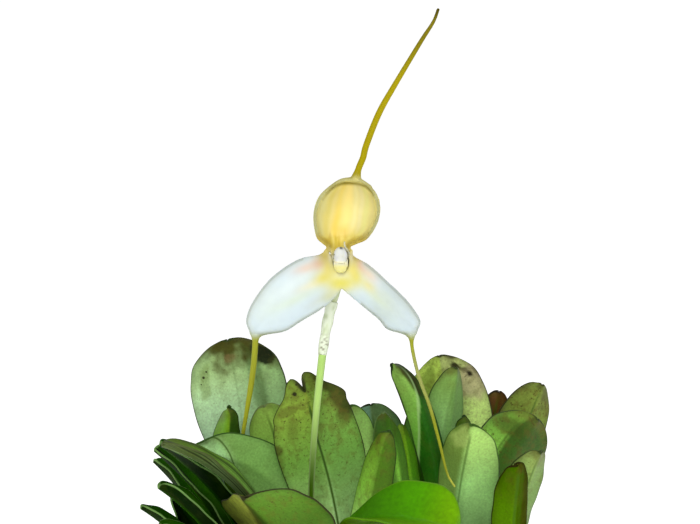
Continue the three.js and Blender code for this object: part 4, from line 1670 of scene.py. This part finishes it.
@dataclass
class Column:
    """The column with its petals and lip, inside the throat. Points are in millimetres from the throat."""

    offset: Point = (0.2, 0.0, 0.0)  # all of it stands a little to the right
    gloss: float = 0.35
    column_route: Route = (
        (0, 3.1, -0.4), (0, 1.9, 0.2), (-0.05, 0.7, 0.9), (-0.1, -0.3, 1.05), (-0.1, -0.95, 1),
    )
    foot_half: float = 0.75  # half the column's width and height at its foot
    head_wide: float = 0.67  # how much wider its head is on each side
    head_high: float = 0.97
    chin: float = 0.75  # how far its underside comes forwards to the lip
    petal_tall: tuple[float, float] = (2.1, 3.8)  # tips of the left and the right petal
    petal_lean: tuple[float, float] = (0.5, 0.95)  # how far they lean in over the column
    petal_foot: float = -0.7
    petal_half: float = 0.62
    petal_thickness: float = 0.22
    lip_route: Route = (
        (0, 1.9, -0.9), (0, 0.6, -0.6), (0, -0.3, -0.45), (0, -0.8, -0.7), (0, -0.95, -1.3),
        (0, -0.75, -2.25),
    )
    lip_foot: float = 0.6  # half the lip's width where it starts
    lip_wide: float = 0.82  # how much wider it grows on each side
    lip_hollow: float = 0.32  # how far its margins lie behind its midline
    lip_lobe: float = 0.75  # how high its side lobes stand up beside the column
    lip_thickness: float = 0.5

    def build(self) -> None:
        """Builds the column, the two petals and the lip."""
        tissue = SepalTissue("pale petal tissue", roughness=0.32, glow=0.6).material()
        self.build_column(tissue)
        self.build_petal(0, "left_petal", tissue)
        self.build_petal(1, "right_petal", tissue)
        self.build_lip(tissue)

    def place(self, piece: Piece, colours: Array, tissue: Material, slot: str, node: str) -> None:
        """Moves a finished piece into the bloom and dresses it.

        Args:
            piece: the piece, modelled from the throat.
            colours: its skin colours.
            tissue: its material.
            slot: the record's material slot.
            node: the frame's node that it stands for.
        """
        move_to(piece, coordinates(piece) + (np.array(THROAT) + self.offset))
        dress(piece, colours, self.gloss, tissue, slot, node)

    def build_column(self, tissue: Material) -> None:
        """Builds the column: a stout stalk whose broad domed head looks out of the throat.

        Args:
            tissue: its material.
        """

        def surface(across: Array, along: Array) -> Array:
            """Places the column's points.

            Args:
                across: places across.
                along: places along.

            Returns:
                Points in millimetres.
            """
            ends = domed((along - 0.6) / 0.4) * np.sqrt(np.clip(along / 0.05, 0, 1))
            grown = step(along, 0, 0.6)
            angle = np.pi * across
            below = -np.cos(angle)
            # Its lower half is squarer, so that the lip carries its outline on.
            power = 1 - 0.45 * step(below, 0.0, 0.6)
            out = np.sign(np.sin(angle)) * np.abs(np.sin(angle)) ** power
            wide = (self.foot_half + self.head_wide * grown) * ends
            high = (self.foot_half + self.head_high * grown) * ends
            chin = -self.chin * step(below, 0.0, 1.0) * step(along, 0.2, 0.6) * domed((along - 0.6) / 0.4)
            return through(self.column_route, along) + np.stack([wide * out, chin, high * -below], axis=1)

        piece = sheet("flower_column", surface, 28, 48, closed=True)
        x, y, z = coordinates(piece).T
        colour = blend(
            plain("#D6D8D2", len(x)), ("#CFCBA0", step(y, 0.2, 1.4)), ("#E9E5B8", step(z, 0.2, -0.5)),
        )
        # A dark notch over the anther cap.
        colour = blend(colour, ("#3E3A26", 0.9 * step(z, 2.25, 2.45) * step(np.abs(x), 0.4, 0.1)))
        self.place(piece, colour, tissue, "column", "column")

    def build_petal(self, side: int, name: str, tissue: Material) -> None:
        """Builds one petal: an upright blade beside the column that tapers to a point above it.

        Args:
            side: 0 for the left petal, 1 for the right one.
            name: the node's name.
            tissue: its material.
        """
        sign = 2 * side - 1
        tall, lean = self.petal_tall[side], self.petal_lean[side]

        def surface(across: Array, along: Array) -> Array:
            """Places the petal's points, from its foot to its tip.

            Args:
                across: places across.
                along: places along.

            Returns:
                Points in millimetres.
            """
            z = self.petal_foot + (tall - self.petal_foot) * along
            half = self.petal_half * np.sin(np.pi * np.clip(0.12 + 0.86 * along, 0, 1)) ** 0.75
            y = 2.1 - 2.1 * step(along, -0.15, 0.75) + across * half
            bent = 1.2 + 0.5 * step(along, 0.0, 0.35) - lean * step(along, 0.45, 0.9)
            return np.stack([sign * (bent - 0.2 * across**2), y, z], axis=1)

        piece = sheet("petal_" + name[:-6], surface, 14, 30)
        apply_modifier(piece, "SOLIDIFY", thickness=self.petal_thickness * MM, offset=0.0)
        apply_modifier(piece, "SUBSURF", levels=1, render_levels=1)
        x, _, z = coordinates(piece).T
        shade = 0.85 * step(sign * x, 1.58, 1.44) * step(z, 2.3, 1.6)
        colour = blend(plain("#C4C2A8", len(x)), ("#857C4C", shade))
        self.place(piece, colour, tissue, "petal", name)

    def build_lip(self, tissue: Material) -> None:
        """Builds the lip: a tongue that comes out under the column's head and hangs down in front.

        Args:
            tissue: its material.
        """

        def surface(across: Array, along: Array) -> Array:
            """Places the lip's points.

            Args:
                across: places across.
                along: places along.

            Returns:
                Points in millimetres.
            """
            centre = through(self.lip_route, along)
            half = (self.lip_foot + self.lip_wide * step(along, 0.05, 0.5)) * domed((along - 0.68) / 0.32)
            lobe = self.lip_lobe * np.abs(across) ** 3 * step(along, 0.15, 0.4) * step(along, 0.85, 0.6)
            centre[:, 0] = across * half - 0.05
            centre[:, 1] += self.lip_hollow * across**2
            centre[:, 2] += lobe
            return centre

        piece = sheet("flower_lip", surface, 16, 40)
        apply_modifier(piece, "SOLIDIFY", thickness=self.lip_thickness * MM, offset=0.0)
        apply_modifier(piece, "SUBSURF", levels=1, render_levels=1)
        x, _, z = coordinates(piece).T
        colour = blend(
            plain("#E0D98E", len(x)), ("#DAD7B2", step(z, -1.3, -0.6)),
            ("#5A5028", 0.6 * step(x, 0.95, 1.2) * step(z, -0.9, -1.6)),
        )
        self.place(piece, colour, tissue, "lip", "lip")


@dataclass
class FlowerStem:
    """The ovary, the papery bract and the peduncle. Points are in millimetres from the throat."""

    gloss: float = 0.08
    ovary: Route = (
        (0.1, 4.9, 0.1), (0.1, 6.4, -1.5), (-0.1, 6.8, -4.2), (-0.8, 6.5, -7.2), (-1.65, 6.3, -9.6),
    )
    bract: Route = ((-1.6, 6.35, -9.0), (-2.3, 6.1, -12), (-3.0, 5.5, -15.5), (-3.65, 4.6, -19.9))
    peduncle: Route = (
        (-3.55, 4.75, -19.3), (-4.2, 4, -25), (-5, 3.2, -33), (-5.7, 2.4, -43), (-5.9, 2, -52),
    )
    planted: tuple[float, float] = (-5.8, 2.0)  # where the peduncle goes into the bark

    def build(self) -> None:
        """Builds the three pieces from the bloom down to the bark."""
        foot = (*self.planted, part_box("flower_stem")[0].z / MM - THROAT[2])
        self.stalk("flower_ovary", self.ovary, self.ovary_radius, ("#AEBA88", "#D6E0B8"), "ovary", "ovary")
        papery = ("#F0F8E2", "#E6EFD6")
        self.stalk("papery_bract", self.bract, self.bract_radius, papery, "bract", "floral_bract")
        green, route = ("#AED272", "#3A5E02"), (*self.peduncle, foot)
        self.stalk("peduncle", route, self.peduncle_radius, green, "flower_stem", "flower_stem")

    @staticmethod
    def ovary_radius(q: Array) -> Array:
        """Gives the ovary's radius along it: thicker above its middle."""
        return 0.8 + 0.3 * step(q, 0.6, 0.2)

    @staticmethod
    def bract_radius(q: Array) -> Array:
        """Gives the bract's radius along it: loose, slightly puckered and narrower lower down."""
        return 1.26 - 0.3 * q + 0.07 * np.sin(q * 17) * step(q, 0.0, 0.2)

    @staticmethod
    def peduncle_radius(q: Array) -> Array:
        """Gives the peduncle's radius along it."""
        return 0.82 - 0.2 * step(q, 0, 0.7)

    def stalk(
        self, name: str, route: Route, radius: Radius, hues: tuple[str, str], slot: str, node: str,
    ) -> None:
        """Builds one stretch of the stem.

        Args:
            name: the piece's name.
            route: its middle line, from the throat.
            radius: its radius along the way.
            hues: its colour at the top and at the bottom.
            slot: the record's material slot.
            node: the frame's node that it stands for.
        """
        placed = [tuple(np.array(p) + THROAT) for p in route]
        piece = tube(name, placed, radius, 14, 90)
        points = coordinates(piece)
        z = points[:, 2]
        down = np.clip((z.max() - z) / np.ptp(z), 0, 1)
        colour = blend(plain(hues[0], len(z)), (hues[1], step(down, 0.12, 0.4)))
        if node == "floral_bract":
            # Dry paper: brown spots low down, and green veins that show through lengthwise.
            spots = step(rough(points, 0.45), 0.12, 0.42) * step(down, 0.5, 0.8)
            colour = blend(colour, ("#6E6246", 0.8 * spots))
            veins = step(rough(points * (1.0, 1.0, 0.12), 0.5, 3.0), 0.0, 0.5)
            colour = blend(colour, ("#B9C795", 0.6 * veins))
        if node == "flower_stem":
            # Paler along both flanks as seen from the front: a painted highlight on the stem's edges.
            colour = blend(colour, ("#C2DC94", 0.6 * step(np.abs(normals(piece)[:, 0]), 0.62, 0.95)))
        tissue = SepalTissue(name.replace("_", " ") + " skin", glow=0.0).material()
        dress(piece, colour, self.gloss, tissue, slot, node)


# ---- bark and pot


@dataclass(frozen=True)
class FirBark:
    """Finish of broken fir bark: dry, layered and rough, dark brown with paler broken edges."""

    layer_mm: float = 1.2
    layers: tuple[float, float] = (0.45, 1.55)  # how dark and how bright they make the bark
    grain_mm: float = 0.4
    roughness: float = 0.9
    bump: float = 0.8
    bump_mm: float = 0.4

    def material(self) -> Material:
        """Makes the material.

        Returns:
            The material.
        """
        made, tree, shader = new_material("broken fir bark")
        place = add_node(tree, "TexCoord")["Object"]
        skin = add_node(tree, "Attribute", attribute_name="skin")["Color"]
        layers, fine = (
            add_node(tree, "TexNoise", {"Vector": place, "Scale": 1 / (size * MM), "Detail": detail})["Fac"]
            for size, detail in ((self.layer_mm, 6.0), (self.grain_mm, 4.0))
        )
        low, high = self.layers
        shade = add_node(tree, "MapRange", {"Value": layers, "To Min": low, "To Max": high})["Result"]
        colour = add_node(tree, "VectorMath", {0: skin, "Scale": shade}, operation="SCALE")
        height = add_node(tree, "Math", {0: layers, 1: fine}, operation="ADD")["Value"]
        relief = add_node(
            tree, "Bump", {"Height": height, "Strength": self.bump, "Distance": self.bump_mm * MM}
        )["Normal"]
        connect(shader, {"Base Color": colour["Vector"], "Normal": relief, "Roughness": self.roughness})
        return made


@dataclass(frozen=True)
class CushionMoss:
    """Finish of living cushion moss: matt, with pale yellow-green tips over a dark depth."""

    tuft_mm: float = 0.9
    roughness: float = 0.95
    index: float = 1.2
    bump: float = 0.6
    bump_mm: float = 0.3

    def material(self) -> Material:
        """Makes the material.

        Returns:
            The material.
        """
        made, tree, shader = new_material("living cushion moss")
        place = add_node(tree, "TexCoord")["Object"]
        tufts = add_node(
            tree, "TexNoise", {"Vector": place, "Scale": 1 / (self.tuft_mm * MM), "Detail": 4.0}
        )["Fac"]
        greens = {0.3: "#26380C", 0.5: "#56741E", 0.7: "#8FA640"}
        green = add_node(tree, "ValToRGB", {"Fac": tufts}, stops=greens)["Color"]
        relief = add_node(
            tree, "Bump", {"Height": tufts, "Strength": self.bump, "Distance": self.bump_mm * MM}
        )["Normal"]
        connect(shader, {"Base Color": green, "Normal": relief})
        connect(shader, {"Roughness": self.roughness, "IOR": self.index})
        return made


@dataclass
class BarkMix:
    """The potting bark: a plug that fills the pot, covered with loose chips and a few cushions of moss."""

    foot_radius: float = 27.6  # of the pot's inside, at its floor
    sunk: float = 3.0  # how far the plug's top lies below the chips'
    chips: int = 330
    chip_mm: tuple[float, float] = (4.0, 9.5)
    chip_thickness: tuple[float, float] = (1.3, 2.8)
    chip_bevel: float = 0.35
    cushions: int = 20
    cushion_mm: tuple[float, float] = (4.0, 9.0)
    leaflet_mm: float = 0.45
    seed: int = 11
    depth: str = "#2E2119"
    browns: tuple[str, ...] = ("#5B4130", "#6B4C36", "#4A3324", "#7A5B42", "#3E2C20")

    def build(self) -> None:
        """Builds the plug, its chips and its moss as one piece."""
        low, high = (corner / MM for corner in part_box("bark_mix"))
        radius = (high.x - low.x) / 2
        top = high.z - self.sunk
        bpy.ops.object.select_all(action="DESELECT")
        bpy.ops.mesh.primitive_cylinder_add(
            vertices=96, radius=radius * MM, depth=(top - low.z) * MM, location=(0, 0, (top + low.z) / 2 * MM)
        )
        plug = bpy.context.object
        bpy.ops.object.transform_apply(location=True)
        points = coordinates(plug)
        taper = np.where(points[:, 2] < low.z + 1, self.foot_radius / radius, 1.0)
        points[:, :2] *= taper[:, None]
        move_to(plug, points)
        store_colour(plug, "skin", plain(self.depth, len(points)))
        draw = random.Random(self.seed)
        pieces = [plug] + [self.chip(draw, radius, top) for _ in range(self.chips)]
        bark, moss = FirBark().material(), CushionMoss().material()
        for solid in pieces:
            solid.data.materials.append(bark)
        for _ in range(self.cushions):
            pieces.append(self.cushion(draw, radius, top))
            pieces[-1].data.materials.append(moss)
        settle(joined(pieces, "bark_chips"), "bark", "bark_mix")

    def chip(self, draw: random.Random, radius: float, top: float) -> Piece:
        """Makes one chip: a squashed, bevelled block, thrown down at random.

        Args:
            draw: the random draw.
            radius: of the bark's surface.
            top: the plug's height.

        Returns:
            The chip.
        """
        size = draw.uniform(*self.chip_mm)
        reach = (radius - size / 2 - 0.4) * math.sqrt(draw.random())
        angle = draw.uniform(0, 2 * math.pi)
        centre = Vector((reach * math.cos(angle), reach * math.sin(angle), top + draw.uniform(0.2, 2.2)))
        turn = Vector((draw.gauss(0, 0.25), draw.gauss(0, 0.25), draw.uniform(0, math.pi)))
        bpy.ops.object.select_all(action="DESELECT")
        bpy.ops.mesh.primitive_cube_add(size=1)
        chip = bpy.context.object
        chip.scale = Vector((size, size * draw.uniform(0.45, 0.8), draw.uniform(*self.chip_thickness))) * MM
        chip.rotation_euler = turn
        chip.location = centre * MM
        bpy.ops.object.transform_apply(location=True, rotation=True, scale=True)
        for vertex in chip.data.vertices:
            vertex.co += Vector([draw.uniform(-0.14, 0.14) * size * MM for _ in range(2)] + [0])
        apply_modifier(chip, "BEVEL", width=self.chip_bevel * MM, segments=1)
        store_colour(chip, "skin", plain(draw.choice(self.browns), len(chip.data.vertices)))
        return chip

    def cushion(self, draw: random.Random, radius: float, top: float) -> Piece:
        """Makes one cushion of moss: a low lumpy dome with a pointed leaflet on each of its faces.

        Args:
            draw: the random draw.
            radius: of the bark's surface.
            top: the plug's height.

        Returns:
            The cushion.
        """
        size = draw.uniform(*self.cushion_mm)
        reach = (radius - size / 2 - 0.8) * draw.uniform(0.6, 1.0)
        angle = draw.uniform(0, 2 * math.pi)
        bpy.ops.object.select_all(action="DESELECT")
        bpy.ops.mesh.primitive_ico_sphere_add(subdivisions=4, radius=0.5)
        cushion = bpy.context.object
        cushion.scale = Vector((size, size * draw.uniform(0.65, 1.0), size * 0.5)) * MM
        cushion.rotation_euler = Vector((0, 0, draw.uniform(0, math.pi)))
        cushion.location = Vector((reach * math.cos(angle), reach * math.sin(angle), top + 2.2)) * MM
        bpy.ops.object.transform_apply(location=True, rotation=True, scale=True)
        points = coordinates(cushion)
        lumps = 0.5 * rough(points, 1.8, draw.random())
        move_to(cushion, points + normals(cushion) * lumps[:, None])
        edited(cushion, lambda: bpy.ops.mesh.poke(offset=self.leaflet_mm * MM))
        return cushion


@dataclass(frozen=True)
class FiredTerracotta:
    """Finish of unglazed fired terracotta: dry and matt, with faint throwing rings and a lime bloom."""

    cloud_mm: float = 14.0
    lime_mm: float = 6.0
    lime_height: tuple[float, float] = (4.0, 40.0)  # where the lime is thickest and where it ends
    lime: float = 0.72
    ring_mm: float = 1.6
    sand_mm: float = 0.5
    roughness: float = 0.88
    index: float = 1.5
    bump: float = 0.45
    bump_mm: float = 0.18

    def material(self) -> Material:
        """Makes the material.

        Returns:
            The material.
        """
        made, tree, shader = new_material("unglazed fired terracotta")
        place = add_node(tree, "TexCoord")["Object"]
        height = add_node(tree, "SeparateXYZ", {"Vector": place})["Z"]
        clouds, ragged, sand = (
            add_node(tree, "TexNoise", {"Vector": place, "Scale": 1 / (size * MM), "Detail": detail})["Fac"]
            for size, detail in ((self.cloud_mm, 5.0), (self.lime_mm, 6.0), (self.sand_mm, 3.0))
        )
        clays = {0.3: "#A85F42", 0.5: "#B86B4C", 0.72: "#C98464"}
        clay = add_node(tree, "ValToRGB", {"Fac": clouds}, stops=clays)["Color"]
        # Lime from the water creeps up the wall in a ragged tide line.
        start, end = self.lime_height
        span = {"Value": height, "From Min": start * MM, "From Max": end * MM}
        span |= {"To Min": self.lime, "To Max": 0.0}
        low = add_node(tree, "MapRange", span)["Result"]
        lime = add_node(tree, "Math", {0: ragged, 1: low}, operation="MULTIPLY")["Value"]
        colour = add_node(
            tree, "Mix", {"Factor": lime, "A": clay, "B": linear("#DCC9B4")}, data_type="RGBA"
        )["Result"]
        rings = add_node(
            tree, "TexNoise", {"W": height, "Scale": 1 / (self.ring_mm * MM), "Detail": 2.0},
            noise_dimensions="1D",
        )["Fac"]
        grit = add_node(tree, "Math", {0: rings, 1: sand}, operation="ADD")["Value"]
        relief = add_node(
            tree, "Bump", {"Height": grit, "Strength": self.bump, "Distance": self.bump_mm * MM}
        )["Normal"]
        connect(shader, {"Base Color": colour, "Normal": relief})
        connect(shader, {"Roughness": self.roughness, "IOR": self.index})
        return made


@dataclass
class ClayPot:
    """The tapered clay pot with its rim band and drain holes."""

    foot_radius: float = 31.0
    shoulder_radius: float = 41.5
    rim_radius: float = 46.0
    rim_height: float = 15.0
    wall: float = 4.0
    floor: float = 5.0
    drain_radius: float = 3.5
    drain_circle: float = 17.0
    drains: int = 5
    sides: int = 128
    crisp: float = 40.0  # in degrees: edges sharper than this stay sharp

    def profile(self) -> list[tuple[float, float]]:
        """Lists the wall's outline, from under the foot round to the inside floor.

        Returns:
            Radii and heights in millimetres.
        """
        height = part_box("clay_pot")[1].z / MM
        band = height - self.rim_height
        flare = (self.shoulder_radius - self.foot_radius) / band
        mouth = self.shoulder_radius - self.wall + flare * self.rim_height
        return [
            (self.foot_radius - 2.0, 0), (self.foot_radius - 0.6, 0.35), (self.foot_radius + 0.1, 1.6),
            (self.shoulder_radius - 0.1, band - 0.9), (self.shoulder_radius + 0.6, band - 0.1),
            (self.rim_radius - 1.4, band), (self.rim_radius - 0.3, band + 0.4), (self.rim_radius, band + 1.6),
            (self.rim_radius + 0.6, height - 2.4), (self.rim_radius + 0.1, height - 0.7),
            (self.rim_radius - 1.3, height), (mouth + 1.5, height), (mouth + 0.3, height - 0.6),
            (mouth, height - 2.0), (self.foot_radius - self.wall + flare * (self.floor + 2), self.floor + 2),
            (self.foot_radius - self.wall - 1.4, self.floor),
        ]

    def build(self) -> None:
        """Turns the pot, bores its drain holes and dresses it."""
        mesh = bpy.data.meshes.new("terracotta_pot")
        outline = [(0.0, 0.0), *self.profile(), (0.0, self.floor)]
        edges = [(i, i + 1) for i in range(len(outline) - 1)]
        mesh.from_pydata([(r * MM, 0, z * MM) for r, z in outline], edges, [])
        piece = bpy.data.objects.new("terracotta_pot", mesh)
        bpy.context.collection.objects.link(piece)
        edited(piece, self.spin, weld, turn_outwards)
        for i in range(self.drains):
            self.bore(piece, 2 * math.pi * i / self.drains)
        piece.data.materials.append(FiredTerracotta().material())
        alone(piece)
        bpy.ops.object.shade_smooth_by_angle(angle=math.radians(self.crisp))
        settle(piece, "fired_clay", "clay_pot")

    def spin(self) -> None:
        """Turns the selected outline once round the upright axis."""
        bpy.ops.mesh.spin(steps=self.sides, angle=2 * math.pi, center=(0, 0, 0), axis=(0, 0, 1))

    def bore(self, piece: Piece, angle: float) -> None:
        """Bores one drain hole through the pot's floor.

        Args:
            piece: the pot.
            angle: where the hole is, round the pot.
        """
        reach = self.drain_circle * MM
        bpy.ops.object.select_all(action="DESELECT")
        bpy.ops.mesh.primitive_cylinder_add(
            vertices=32, radius=self.drain_radius * MM, depth=4 * self.floor * MM,
            location=(reach * math.cos(angle), reach * math.sin(angle), 0),
        )
        drill = bpy.context.object
        apply_modifier(piece, "BOOLEAN", operation="DIFFERENCE", object=drill, solver="EXACT")
        bpy.data.objects.remove(drill)


# ---- studio


@dataclass(frozen=True)
class WhitePaper:
    """Finish of matt white paper, lit from within like a light table, so that no horizon line shows."""

    roughness: float = 0.95
    gloss: float = 0.1
    glow: float = 0.72

    def material(self) -> Material:
        """Makes the material.

        Returns:
            The material.
        """
        made, _, shader = new_material("matt white paper")
        connect(
            shader,
            {
                "Base Color": linear("#FAFAFA"), "Roughness": self.roughness,
                "Specular IOR Level": self.gloss, "Emission Color": linear("#FFFFFF"),
                "Emission Strength": self.glow,
            },
        )
        return made


@dataclass(frozen=True)
class SoftLight:
    """A soft square light that looks at the plant."""

    name: str
    place: Point
    size: float
    watts: float


@dataclass
class Studio:
    """A white floor, soft light and the camera."""

    distance: float = 400.0
    elevation: float = 6.0
    target: Point = (0.0, -20.0, 152.6)
    focal_px: float = 2000.0
    frame_px: float = 700.0
    sensor: float = 36.0
    clip: tuple[float, float] = (0.01, 50.0)  # in metres
    lit: Point = (0.0, 0.0, 110.0)  # what the lights look at
    lights: tuple[SoftLight, ...] = (
        SoftLight("key", (-130, -650, 560), 420, 3.3), SoftLight("fill", (520, -420, 300), 520, 0.45),
        SoftLight("rim", (150, 520, 620), 420, 0.8),
    )
    floor_radius: float = 14.0  # in metres
    room: float = 0.33  # how strongly the room lights the plant
    backdrop: float = 1.05  # how bright it looks behind the plant

    def build(self) -> None:
        """Sets up the stage, the lights and the camera."""
        self.add_camera()
        self.add_floor()
        self.add_world()
        for light in self.lights:
            self.add_light(light)
        view = bpy.context.scene.view_settings
        view.view_transform = "Standard"
        view.look = "None"

    def add_camera(self) -> None:
        """Places the camera in front of the bloom, a little above it."""
        data = bpy.data.cameras.new("camera")
        data.sensor_width = self.sensor
        data.lens = self.sensor * self.focal_px / self.frame_px
        data.clip_start, data.clip_end = self.clip
        camera = bpy.data.objects.new("camera", data)
        bpy.context.collection.objects.link(camera)
        up = math.radians(self.elevation)
        back = Vector((0, -math.cos(up), math.sin(up)))
        camera.location = (Vector(self.target) + back * self.distance) * MM
        camera.rotation_mode = "QUATERNION"
        camera.rotation_quaternion = (-back).to_track_quat("-Z", "Y")
        bpy.context.scene.camera = camera

    def add_floor(self) -> None:
        """Lays a wide white floor under the pot."""
        bpy.ops.object.select_all(action="DESELECT")
        bpy.ops.mesh.primitive_circle_add(vertices=96, radius=self.floor_radius, fill_type="NGON")
        floor = bpy.context.object
        floor.name = "floor"
        floor.data.materials.append(WhitePaper().material())

    def add_world(self) -> None:
        """Fills the room with even white light, with a backdrop that is brighter than the light it gives."""
        world = bpy.data.worlds.new("white room")
        bpy.context.scene.world = world
        world.use_nodes = True
        tree = world.node_tree
        path = add_node(tree, "LightPath")["Is Camera Ray"]
        strength = add_node(
            tree, "MapRange", {"Value": path, "To Min": self.room, "To Max": self.backdrop}
        )["Result"]
        connect(tree.nodes["Background"], {"Color": linear("#FFFFFF"), "Strength": strength})

    def add_light(self, light: SoftLight) -> None:
        """Adds a soft area light that looks at the plant.

        Args:
            light: its name, place, size and power.
        """
        data = bpy.data.lights.new(light.name, "AREA")
        data.size = light.size * MM
        data.energy = light.watts
        lamp = bpy.data.objects.new(light.name, data)
        bpy.context.collection.objects.link(lamp)
        lamp.location = Vector(light.place) * MM
        aim = Vector(self.lit) - Vector(light.place)
        lamp.rotation_mode = "QUATERNION"
        lamp.rotation_quaternion = aim.to_track_quat("-Z", "Y")


def main() -> None:
    """Builds the orchid from the camera inwards."""
    logging.basicConfig(level=logging.INFO, format="%(message)s")
    Studio().build()
    ClayPot().build()
    BarkMix().build()
    Perianth().build()
    Column().build()
    FlowerStem().build()
    Foliage().build()


if __name__ == "__main__":
    main()
